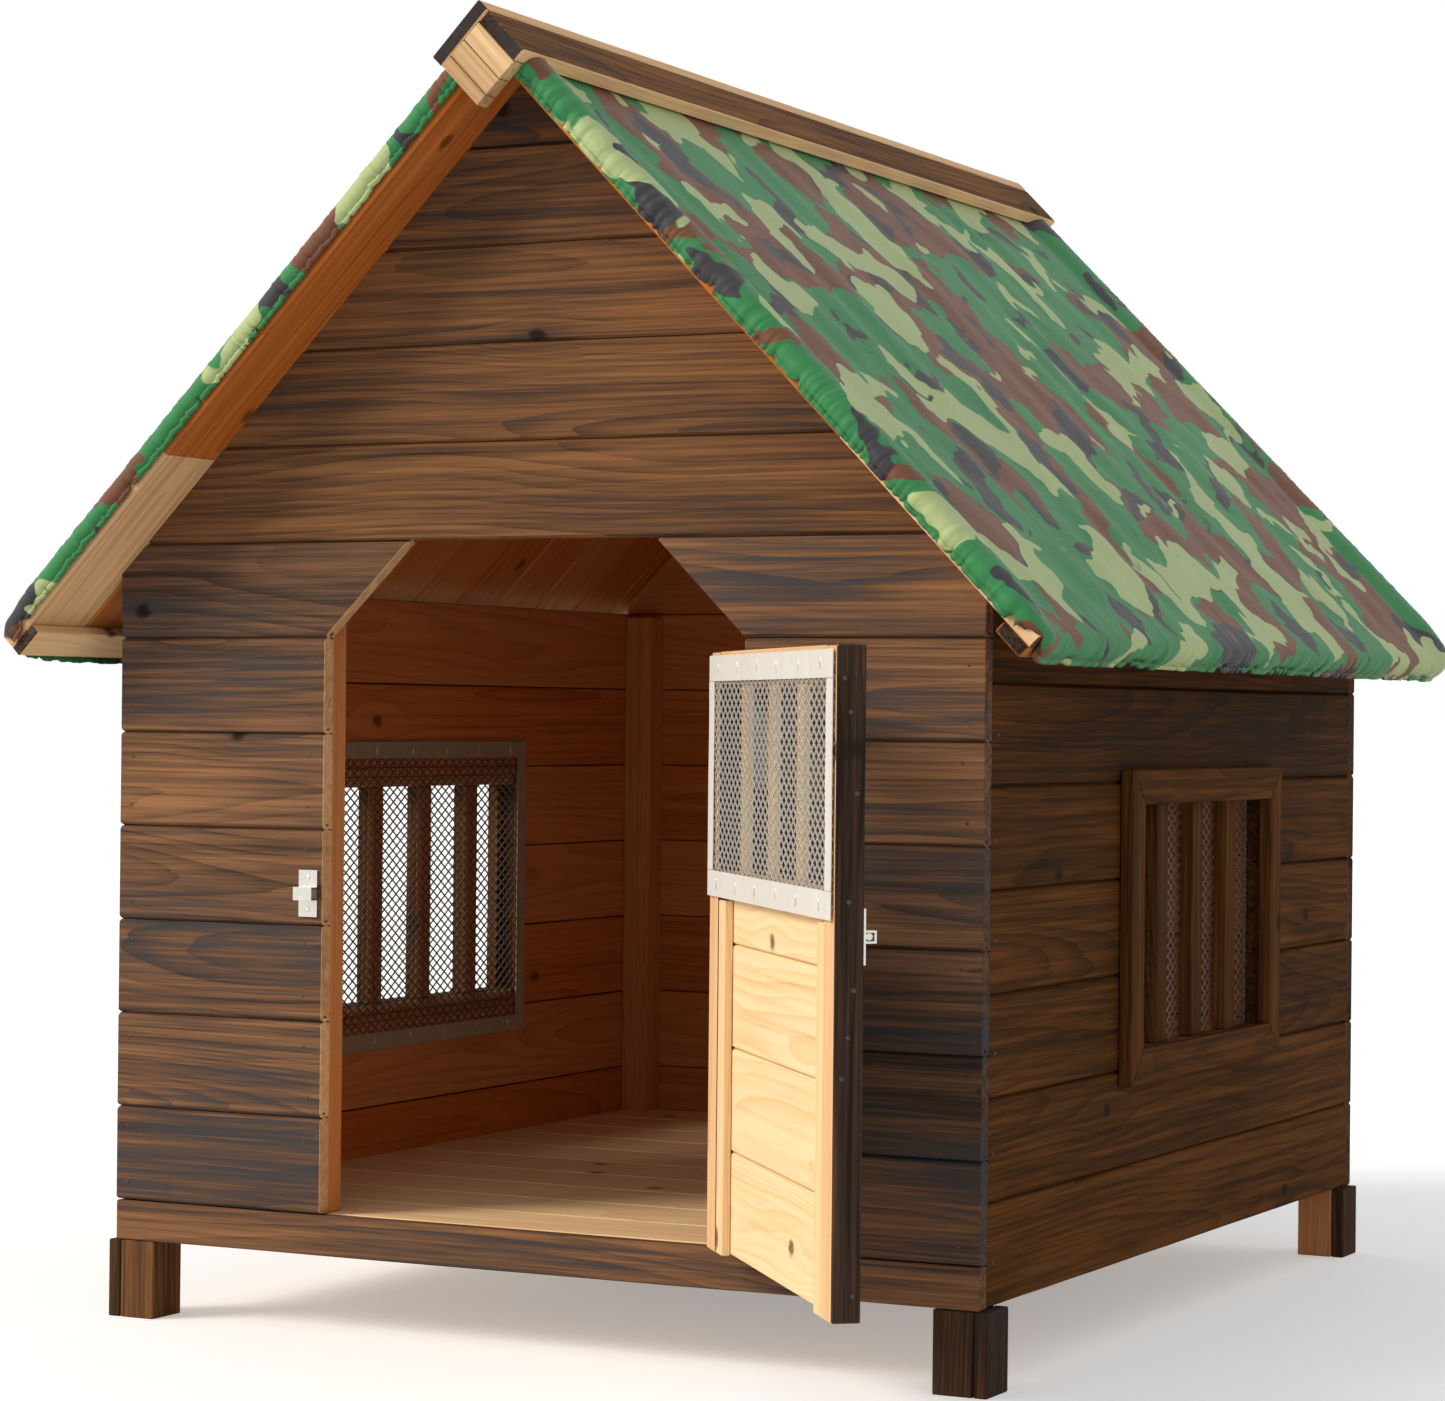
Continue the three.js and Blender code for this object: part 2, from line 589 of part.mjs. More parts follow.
// Two boards meet over the ridge, closed at each end by a square block.
function ridgeCap(roof) {
  const inner = ROOF_BOARD_THICK + CAP_CLEAR;
  const outer = inner + CAP_BOARD_THICK;
  const y = [ROOF_START - CAP_PAST_ROOF, ROOF_END + CAP_PAST_ROOF];
  const apex = -outer * SLOPE; // along the slope, where the outer faces meet
  const edge = apex + CAP_BOARD_WIDE;
  const butt = apex + CAP_BOARD_THICK + 2 * SEAT;
  mesh("ridge_cap_left", slopeStrip(-1, [apex, edge], [inner, outer], y), charred, roof);
  mesh("ridge_cap_right", slopeStrip(1, [butt, edge], [inner, outer], y), charred, roof);

  const top = RIDGE + (inner - SEAT) / Math.cos(PITCH);
  const reach = CAP_END_SQUARE * Math.cos(PITCH);
  const drop = CAP_END_SQUARE * Math.sin(PITCH);
  const diamond = [[0, top - 2 * drop], [reach, top - drop], [0, top], [-reach, top - drop]];
  mesh("ridge_end_front", prismAlongY(diamond, y[0], y[0] + CAP_END_THICK), bare, roof);
  mesh("ridge_end_rear", prismAlongY(diamond, y[1] - CAP_END_THICK, y[1]), bare, roof);
}

// ---------------------------------------------------------------- door

// The door is drawn closed: x is measured from the pin line towards the hinge side, so that the free edge
// is negative; y is 0 at the door's outer face and z is 0 at its foot.
function doorPanel(door) {
  const full = [0, DOOR_THICK];
  const tall = [0, DOOR_TALL];
  mesh("door_stile_hinge", block([HINGE_EDGE - STILE_WIDE, HINGE_EDGE], full, tall), charred, door);
  mesh("door_stile_free", block([FREE_EDGE, FREE_EDGE + STILE_WIDE], full, tall), charred, door);
  const x = [FREE_EDGE + STILE_WIDE + SEAT, HINGE_EDGE - STILE_WIDE - SEAT];
  const topRail = [DOOR_TALL - TOP_RAIL_TALL, DOOR_TALL];
  const midRail = [DOOR_NET_SILL, DOOR_NET_SILL + DOOR_STRIP_TALL];
  mesh("door_top_rail", block(x, full, topRail), bare, door);
  mesh("door_mid_rail", block(x, full, midRail), bare, door);

  const boardTop = midRail[0] - SEAT;
  const ends = boardEnds(0, boardTop, jointsFrom(0, boardTop), DOOR_BOARD_THICK);
  const start = new THREE.Vector3(x[0], DOOR_BOARD_BACK, 0);
  mesh("door_boards", prism(ends, x[1] - x[0], Y, Z, start), bare, door);
  const battenFace = DOOR_BOARD_BACK + DOOR_BOARD_THICK + SEAT;
  const battenY = [battenFace, battenFace + DOOR_BATTEN_THICK];
  const battenZ = [0, boardTop - DOOR_BATTEN_SHORT];
  mesh("door_batten_hinge", block([x[1] - DOOR_BATTEN_WIDE, x[1]], battenY, battenZ), bare, door);
  mesh("door_batten_free", block([x[0], x[0] + DOOR_BATTEN_WIDE], battenY, battenZ), bare, door);

  const gap = (x[1] - x[0] - SLAT_COUNT * SLAT_WIDE) / (SLAT_COUNT + 1);
  const slatFace = DOOR_THICK - SLAT_BEHIND_NET;
  for (let slat = 0; slat < SLAT_COUNT; slat += 1) {
    const edge = x[0] + gap + slat * (gap + SLAT_WIDE);
    mesh(`door_slat_${slat + 1}`, block([edge, edge + SLAT_WIDE], [slatFace - SLAT_THICK, slatFace],
      [midRail[1] + SEAT, topRail[0] - SEAT]), bare, door);
  }
}

// Netting over the upper half of the door's inner face, held by flat strips.
function doorNet(door) {
  const wide = HINGE_EDGE - FREE_EDGE - 2 * DOOR_NET_INSET;
  const tall = DOOR_TALL - DOOR_NET_INSET - DOOR_NET_SILL;
  const middle = [(HINGE_EDGE + FREE_EDGE) / 2, DOOR_NET_SILL + tall / 2];
  const net = netSection(middle, wide, tall);
  const netFace = DOOR_THICK + SEAT;
  const stripFace = netFace + NET_THICK + SEAT;
  mesh("door_net", netSheet(net, prismAlongY, netFace, netFace + NET_THICK), netting, door);
  const inner = centred(middle, wide - 2 * DOOR_STRIP_WIDE, tall - 2 * DOOR_STRIP_TALL);
  mesh("door_strips",
    prismAlongY(centred(middle, wide, tall), stripFace, stripFace + STRIP_THICK, [inner]), aluminium, door);
}

// One leaf of a butt hinge round the pin line: `hand` is 1 on the wall and -1 on the door.
function hingeLeaf(hand, foot) {
  const third = HINGE_TALL / 3;
  const face = [PIN_OUT - SEAT - LEAF_THICK, PIN_OUT - SEAT];
  const clear = KNUCKLE_RADIUS + RUNNING;
  const plate = between(hand * clear, hand * (clear + LEAF_WIDE));
  const web = between(hand * (PIN_RADIUS + RUNNING + LEAF_THICK / 4), hand * (clear + 1));
  let leaf = solid(block(plate, face, [foot, foot + HINGE_TALL]));
  const own = hand > 0 ? [0, 2] : [1];
  for (const part of own) {
    const z = [foot + part * third + SEAT / 2, foot + (part + 1) * third - SEAT / 2];
    leaf = leaf.add(solid(block(web, face, z))).add(upright(KNUCKLE_RADIUS, z));
  }
  if (hand > 0) {
    const bore = upright(PIN_RADIUS + RUNNING, [foot - 1, foot + HINGE_TALL + 1]);
    return geometryOf(leaf.subtract(bore));
  }
  return geometryOf(leaf.add(upright(PIN_RADIUS, [foot + SEAT, foot + HINGE_TALL - SEAT])));
}

// A round upright bar on the pin line.
function upright(radius, z) {
  return solid(prism(circle([0, 0], radius), z[1] - z[0], X, Y, new THREE.Vector3(0, 0, z[0])));
}

function hinges(wallSide, doorSide) {
  const feet = { lower: HINGE_FROM_END, upper: DOOR_TALL - HINGE_FROM_END - HINGE_TALL };
  for (const [name, foot] of Object.entries(feet)) {
    mesh(`hinge_${name}_wall_leaf`, hingeLeaf(1, foot), steel, wallSide);
    mesh(`hinge_${name}_door_leaf`, hingeLeaf(-1, foot), steel, doorSide);
  }
}

// A rod along x.
function rodAlongX(radius, x, y, z) {
  return solid(prismAlongX(circle([y, z], radius), x[0], x[1]));
}

// Straps over a rod along x: each a square sleeve from the plate up, with the given play round the rod.
function straps(starts, long, height, play) {
  const mouth = BOLT_ROD_RADIUS + play;
  const half = mouth + STRAP_THICK;
  const y = [-BOLT_OUT - half, -SEAT - LEAF_THICK / 2];
  const whole = [starts[0] - 1, starts[starts.length - 1] + long + 1];
  const hollow = solid(block(whole, [-BOLT_OUT - mouth, -BOLT_OUT + mouth],
    [height - mouth, height + mouth]));
  return starts
    .map((start) => solid(block([start, start + long], y, [height - half, height + half])))
    .reduce((all, strap) => all.add(strap))
    .subtract(hollow);
}

// A back plate on the face at y = 0.
function backPlate(x, height) {
  const z = [height - BOLT_PLATE_TALL / 2, height + BOLT_PLATE_TALL / 2];
  return solid(block(x, [-SEAT - LEAF_THICK, -SEAT], z));
}

// The bolt slides along the door towards the keeper on the left front boards.
function barrelBolt(walls, door) {
  const edge = FREE_EDGE + BOLT_PLATE_FROM_EDGE;
  const axis = BOLT_HEIGHT - DOOR_FOOT;
  const guides = [edge, edge + BOLT_PLATE_LONG - BOLT_GUIDE_LONG];
  const plate = backPlate([edge, edge + BOLT_PLATE_LONG], axis);
  const housing = plate.add(straps(guides, BOLT_GUIDE_LONG, axis, RUNNING));
  mesh("bolt_housing", geometryOf(housing), steel, door);

  const tip = edge + BOLT_TIP_IN;
  const rear = edge + BOLT_PLATE_LONG + BOLT_TRAVEL;
  const knobX = guides[1] - KNOB_FROM_GUIDE - KNOB_RADIUS;
  const knob = solid(prismAlongY(circle([knobX, axis], KNOB_RADIUS), -KNOB_OUT, -BOLT_OUT));
  const rod = rodAlongX(BOLT_ROD_RADIUS, [tip, rear], -BOLT_OUT, axis);
  mesh("bolt_rod", geometryOf(rod.add(knob)), steel, door);

  const keeperEdge = -HALF_DOORWAY - KEEPER_FROM_DOORWAY;
  const x = [keeperEdge - KEEPER_WIDE, keeperEdge];
  const keeper = backPlate(x, BOLT_HEIGHT).add(straps([x[0]], KEEPER_WIDE, BOLT_HEIGHT, KEEPER_PLAY));
  mesh("bolt_keeper", geometryOf(keeper), steel, walls);
}

// ---------------------------------------------------------------- assembly

const house = new THREE.Group();
const walls = new THREE.Group();
const roof = new THREE.Group();
house.add(walls, roof);

frontWall(walls);
backWall(walls);
postsAndFeet(walls);
floor(walls);
for (const [name, side] of SIDES) {
  sideWall(name, side, walls);
  sideWindow(name, side, walls);
}
roofTimber(roof);
rainCover(roof);
ridgeCap(roof);

// The pin line carries the wall leaves, and the door swung open about it.
const pinLine = new THREE.Group();
pinLine.position.set(PIN_X, -PIN_OUT, DOOR_FOOT);
house.add(pinLine);
const swing = new THREE.Group();
swing.rotation.z = DOOR_OPEN;
pinLine.add(swing);
const door = new THREE.Group();
door.position.y = PIN_OUT;
swing.add(door);
doorPanel(door);
doorNet(door);
hinges(pinLine, swing);
barrelBolt(walls, door);

// The origin: on the floor, under the middle of the whole house with its door open.
const whole = new THREE.Box3().setFromObject(house);
const middle = whole.getCenter(new THREE.Vector3());
house.position.set(-middle.x, -middle.y, -whole.min.z);
const part = new THREE.Group();
part.add(house);

export default part;
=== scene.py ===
"""A dog house of charred softwood boards under a gathered rain cover, dressed over its CAD frame.

Metres, in the frame's own axes: +X to the house's right, +Y to its back, +Z up, the floor at z = 0.
"""

import json
import math
import random

import bmesh
import bpy
import numpy as np
from bpy.props import FloatProperty, FloatVectorProperty, IntProperty, PointerProperty
from mathutils import Matrix, Vector

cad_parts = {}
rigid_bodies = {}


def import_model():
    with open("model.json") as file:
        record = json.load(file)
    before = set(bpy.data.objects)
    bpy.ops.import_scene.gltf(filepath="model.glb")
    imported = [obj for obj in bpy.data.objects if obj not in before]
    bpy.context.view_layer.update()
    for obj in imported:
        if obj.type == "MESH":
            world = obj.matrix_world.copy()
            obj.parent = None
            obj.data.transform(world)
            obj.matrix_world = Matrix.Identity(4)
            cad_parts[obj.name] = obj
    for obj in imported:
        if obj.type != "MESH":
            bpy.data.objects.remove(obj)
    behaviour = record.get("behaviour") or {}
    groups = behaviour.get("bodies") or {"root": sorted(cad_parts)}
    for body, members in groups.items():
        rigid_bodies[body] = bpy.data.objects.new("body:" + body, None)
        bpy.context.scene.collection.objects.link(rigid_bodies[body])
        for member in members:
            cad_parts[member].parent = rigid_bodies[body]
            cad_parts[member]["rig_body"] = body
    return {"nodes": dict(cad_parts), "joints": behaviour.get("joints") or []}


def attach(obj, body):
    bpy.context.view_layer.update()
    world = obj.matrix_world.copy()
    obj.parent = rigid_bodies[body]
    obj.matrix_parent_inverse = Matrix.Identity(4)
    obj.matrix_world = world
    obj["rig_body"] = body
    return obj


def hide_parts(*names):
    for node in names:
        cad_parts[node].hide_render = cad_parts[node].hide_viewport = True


bl_info = {
    "name": "Boarded Dog House",
    "version": (1, 0, 0),
    "blender": (4, 5, 0),
    "location": "View3D > Sidebar > Dog House",
    "description": "Builds a charred-board dog house with a rain cover round its CAD frame",
    "category": "Object",
}

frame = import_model()
NODES = frame["nodes"]
JOINTS = {joint["name"]: joint for joint in frame["joints"]}
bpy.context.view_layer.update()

MM = 0.001
X, Y, Z = Vector((1, 0, 0)), Vector((0, 1, 0)), Vector((0, 0, 1))
SIDES = {"left": -1, "right": 1}


def linear(text):
    """A linear RGBA colour from an sRGB hex value."""
    parts = [int(text[i : i + 2], 16) / 255 for i in (1, 3, 5)]
    return [p / 12.92 if p <= 0.04045 else ((p + 0.055) / 1.055) ** 2.4 for p in parts] + [1.0]


# ---------------------------------------------------------------- sizes and colours


def length(name, description, default):
    """A length that the sidebar shows, in metres."""
    return FloatProperty(name=name, description=description, default=default, min=0, unit="LENGTH")


def paint(name, description, default):
    """A colour that the sidebar shows, from an sRGB hex value."""
    return FloatVectorProperty(
        name=name, description=description, default=linear(default), size=4, subtype="COLOR", min=0, max=1
    )


class DogHouseSizes(bpy.types.PropertyGroup):
    """Sizes of the boards, the cloth and the netting that the CAD frame leaves open."""

    board_cover: length("Board cover", "Height that one matched wall board covers", 80 * MM)
    floor_cover: length("Floor board cover", "Depth that one floor board covers", 90 * MM)
    joint_wide: length("Joint chamfer", "Half the width of the V between two boards", 2 * MM)
    joint_deep: length("Joint depth", "Depth of the V between two boards", 3 * MM)
    joint_gap: length("Joint gap", "Open line at the bottom of the V", 0.6 * MM)
    edge_rough: length("Edge wander", "How far a sawn edge wanders from a straight line", 0.35 * MM)
    arris: length("Arris", "Width of the worn edge of every board", 0.5 * MM)
    mesh_wide: length("Mesh width", "Long diagonal of one lozenge of the netting", 14 * MM)
    mesh_tall: length("Mesh height", "Short diagonal of one lozenge of the netting", 9.2 * MM)
    cloth_thick: length("Cloth thickness", "Thickness of the rain cover's coated cloth", 0.9 * MM)
    cloth_slack: length("Cloth slack", "How far the cloth stands off the boards mid-slope", 6.5 * MM)
    gather_pitch: length("Gather pitch", "Distance between two gathers of the elastic hem", 5.2 * MM)
    seed: IntProperty(name="Seed", description="Picks the grain and the folds", default=7, min=0)


class DogHouseColours(bpy.types.PropertyGroup):
    """Colours of the finishes."""

    char_ember: paint("Char, brushed", "Earlywood that the brush has cleared of char", "#9a6e4b")
    char_brown: paint("Char, brown", "Toasted wood", "#73543f")
    char_deep: paint("Char, deep", "Burnt latewood", "#4b3b31")
    char_black: paint("Char, black", "Knots and the darkest streaks", "#2a211d")
    oil_ember: paint("Oiled char, brushed", "Earlywood under more oil", "#6f4522")
    oil_brown: paint("Oiled char, brown", "Toasted wood under more oil", "#4e3016")
    oil_deep: paint("Oiled char, deep", "Burnt latewood under more oil", "#302011")
    fir_pale: paint("Fir, pale", "Earlywood of planed fir", "#f8dcae")
    fir_gold: paint("Fir, gold", "Latewood of planed fir", "#e2b072")
    fir_amber: paint("Fir, amber", "Oiled fir, light", "#d07a35")
    fir_rust: paint("Fir, rust", "Oiled fir, dark", "#98491a")
    camo_green: paint("Camouflage green", "Ground colour of the rain cover", "#3f8753")
    camo_brown: paint("Camouflage brown", "Large patches", "#78503c")
    camo_pale: paint("Camouflage pale", "Branching light patches", "#b2c188")
    camo_dark: paint("Camouflage charcoal", "Small dark patches", "#454447")


def sizes():
    return bpy.context.scene.dog_house_sizes


def colours():
    return bpy.context.scene.dog_house_colours


# ---------------------------------------------------------------- frames and extents


def axes(along, across, out, origin=(0, 0, 0)):
    """A piece's own frame: grain along its first axis, width along its second, weather face to its third."""
    matrix = Matrix((along, across, out)).transposed().to_4x4()
    matrix.translation = origin
    return matrix


FRONT = axes(X, Z, -Y)
BACK = axes(-X, Z, Y)
WALL_SIDE = {"left": axes(-Y, Z, -X), "right": axes(Y, Z, X)}
FLAT = axes(X, Y, Z)
UPRIGHT = axes(Z, X, Y)
DEEP = axes(Y, X, -Z)

PITCH = math.radians(45.5)
SLOPE = {
    name: axes(
        (side * math.cos(PITCH), 0, -math.sin(PITCH)), Y, (side * math.sin(PITCH), 0, math.cos(PITCH))
    )
    for name, side in SIDES.items()
}

HINGE = JOINTS["door_swing"]
DOOR_OPEN = math.radians(-HINGE["range_deg"][0])
DOOR = Matrix.Translation((HINGE["pos_m"][0], HINGE["pos_m"][1], 0)) @ Matrix.Rotation(DOOR_OPEN, 4, "Z")
DOOR_LEVEL = DOOR @ axes(X, Z, -Y)
DOOR_UPRIGHT = DOOR @ axes(Z, X, -Y)


def extent(node, own):
    """(lowest, highest) of a CAD node on each axis of a piece's own frame."""
    back = own.inverted()
    points = np.array([back @ v.co for v in NODES[node].data.vertices])
    return list(zip(points.min(0).tolist(), points.max(0).tolist()))


# ---------------------------------------------------------------- boards


class Pile:
    """Boards on their way to one mesh, with each corner's place in the grain of its own board."""

    def __init__(self, name):
        self.random = random.Random(f"{name} {sizes().seed}")
        self.points, self.faces, self.finish, self.scorch = [], [], [], []
        self.grain, self.lot, self.tint = [], [], []

    def corner(self, point, grain=(0, 0, 0), lot=(0, 0, 0), tint=(0, 0, 0)):
        self.points.append(tuple(point))
        self.grain.append(tuple(grain))
        self.lot.append(lot)
        self.tint.append(tint)

    def face(self, corners, finish=0, scorch=0):
        self.faces.append(tuple(corners))
        self.finish.append(finish)
        self.scorch.append(scorch)


STATION = 70 * MM  # how often a long edge may change its course
TONGUE = 3.6 * MM  # reach of a matched board's tongue into the next board


def board(pile, own, along, across, out, **how):
    """One board in its own frame, its weather face at the high end of `out`.

    ends gives (start, end) of the grain for a height across the board, chamfer the (width, depth) of the
    weather edges, back the chamfer of the inner ones. matched says whether the low edge has a groove and
    the high one a tongue. finish is the material of the weather face, of the inner face and of the long
    edges, and caps that of the two ends. breaks are heights where an end bends. tint is how burnt, how
    rich and how amber the board is, spread how much the first of them varies, and scorch how much more
    its ends are burnt.
    """
    (b0, b1), (c0, c1) = across, out
    grooved, tongued = how.get("matched", (False, False))
    third = (c1 - c0) * 0.34
    wide, deep = how.get("chamfer", (0, 0))
    back = how.get("back", 0)
    face, inner, edge = how.get("finish", (0, 0, 0))
    breaks = how.get("breaks", ())
    ends = how.get("ends", lambda b: along)
    outline = [(b0 + back, c0, inner), (b0, c0 + back, edge)]
    if grooved:
        low, high, floor = c0 + third, c1 - third, b0 + TONGUE + 0.4 * MM
        outline += [(b0, low, edge), (floor, low, edge), (floor, high, edge), (b0, high, edge)]
    outline += [(b0, c1 - deep, face), (b0 + wide, c1, face)]
    outline += [(b, c1, face) for b in sorted(breaks)]
    outline += [(b1 - wide, c1, face), (b1, c1 - deep, edge)]
    if tongued:
        low, high, tip = c0 + third + 0.15 * MM, c1 - third - 0.15 * MM, b1 + TONGUE
        outline += [(b1, high, edge), (tip, high, edge), (tip, low, edge), (b1, low, edge)]
    outline += [(b1, c0 + back, inner), (b1 - back, c0, inner)]
    outline += [(b, c0, inner) for b in sorted(breaks, reverse=True)]
    count = len(outline)
    outline = [
        p for i, p in enumerate(outline) if math.dist(p[:2], outline[(i + 1) % count][:2]) > 1e-6
    ]
    count = len(outline)

    rough = how.get("rough", 0)
    stations = max(1, math.ceil((along[1] - along[0]) / STATION)) if rough else 1
    lot = tuple(pile.random.random() for _ in range(3))
    burn, rich, amber = how.get("tint", (0, 0, 0))
    turn = pile.random.uniform(-1, 1) * how.get("spread", 0.06)
    tint = (burn + turn, rich, amber + turn)
    first = len(pile.points)
    middle = Vector((0, (b0 + b1) / 2, (c0 + c1) / 2))
    for station in range(stations + 1):
        share = station / stations
        for b, c, _ in outline:
            start, end = ends(b)
            b_in = pile.random.uniform(0, rough) * (1 if b < middle.y else -1)
            c_in = pile.random.uniform(0, rough / 2) * (1 if c < middle.z else -1)
            place = Vector((start + share * (end - start), b + b_in, c + c_in))
            pile.corner(own @ place, place - middle, lot, tint)
    for station in range(stations):
        here, there = first + station * count, first + (station + 1) * count
        for i in range(count):
            j = (i + 1) % count
            burnt = how.get("burnt", 0) if outline[i][2] == 0 else 0
            pile.face((here + i, here + j, there + j, there + i), outline[i][2], burnt)
    caps, scorch = how.get("caps", (edge, edge)), how.get("scorch", 0.08)
    pile.face(range(first, first + count), caps[0], scorch)
    pile.face(range(first + stations * count, first + (stations + 1) * count), caps[1], scorch)


def set_attribute(mesh, name, kind, field, values, domain="POINT"):
    """A value for each corner or face of a mesh, that its material reads."""
    layer = mesh.attributes.new(name, kind, domain)
    layer.data.foreach_set(field, np.asarray(values, np.float32).ravel())


def smooth(mesh, on=True):
    mesh.polygons.foreach_set("use_smooth", [on] * len(mesh.polygons))


def in_place(name, mesh, nodes):
    """Links a piece, and puts it on the body that carries the first of its CAD nodes."""
    made = bpy.data.objects.new(name, mesh)
    bpy.context.scene.collection.objects.link(made)
    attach(made, NODES[nodes[0]]["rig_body"])
    return made


def wooden(pile, slot, finishes, *nodes, arris=None):
    """The piece that a pile of boards makes, in place of its CAD nodes."""
    name = f"{nodes[0]}.wood"
    mesh = bpy.data.meshes.new(name)
    mesh.from_pydata(pile.points, [], pile.faces)
    set_attribute(mesh, "grain", "FLOAT_VECTOR", "vector", pile.grain)
    set_attribute(mesh, "lot", "FLOAT_VECTOR", "vector", pile.lot)
    set_attribute(mesh, "tint", "FLOAT_VECTOR", "vector", pile.tint)
    set_attribute(mesh, "scorch", "FLOAT", "value", pile.scorch, "FACE")
    for finish in finishes:
        mesh.materials.append(finish)
    mesh.polygons.foreach_set("material_index", pile.finish)
    turn_out(mesh)
    made = in_place(name, mesh, nodes)
    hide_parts(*nodes)
    worn = made.modifiers.new("Worn arris", "BEVEL")
    worn.width = sizes().arris if arris is None else arris
    worn.segments = 1
    worn.limit_method = "ANGLE"
    worn.angle_limit = math.radians(35)
    return made


def turn_out(mesh):
    """Makes every face of a closed mesh look outwards."""
    work = bmesh.new()
    work.from_mesh(mesh)
    bmesh.ops.recalc_face_normals(work, faces=work.faces)
    work.to_mesh(mesh)
    work.free()


def rows(low, high, first, cover):
    """Lower and upper edge of each board between two heights, for joints that start at `first`."""
    count = math.ceil((high - first) / cover)
    joints = [first + i * cover for i in range(count + 1)]
    edges = [low, *[z for z in joints if low + 5 * MM < z < high - 5 * MM], high]
    return list(zip(edges, edges[1:]))


def opened(low, high):
    """A board's edges, less half the open line at each."""
    half = sizes().joint_gap / 2
    return low + half, high - half


# ---------------------------------------------------------------- materials


def add(tree, kind, inputs=None, stops=None, **settings):
    """Adds a node with its settings, and gives each input a value or a link from another node."""
    made = tree.nodes.new("ShaderNode" + kind)
    for name, value in settings.items():
        setattr(made, name, value)
    for name, value in (inputs or {}).items():
        if isinstance(value, bpy.types.NodeSocket):
            tree.links.new(value, made.inputs[name])
        else:
            made.inputs[name].default_value = value
    if stops:
        ramp = made.color_ramp
        while len(ramp.elements) < len(stops):
            ramp.elements.new(0.5)
        for element, (position, value) in zip(ramp.elements, stops):
            element.position, element.color = position, value
    return made


def finish(name, **fixed):
    """A new material, its tree and its principled shader, with sockets that are the same all over."""
    if name in bpy.data.materials:
        bpy.data.materials.remove(bpy.data.materials[name])
    material = bpy.data.materials.new(name)
    material.use_nodes = True
    tree = material.node_tree
    shader = tree.nodes["Principled BSDF"]
    for socket, value in fixed.items():
        shader.inputs[socket.replace("_", " ")].default_value = value
    return material, tree, shader


RING_PITCH = (3.2 * MM, 6.5 * MM)  # growth rings of a fast-grown softwood
PITH_BEHIND = 45 * MM  # plain-sawn boards: the middle of the tree lies behind the face
KNOT_CELL = (0.30, 0.105)  # about one knot may sit in each such cell of a board
KNOT_RADIUS = 6.5 * MM
FAR = 23.0  # metres between one board's place in the tree and the next one's


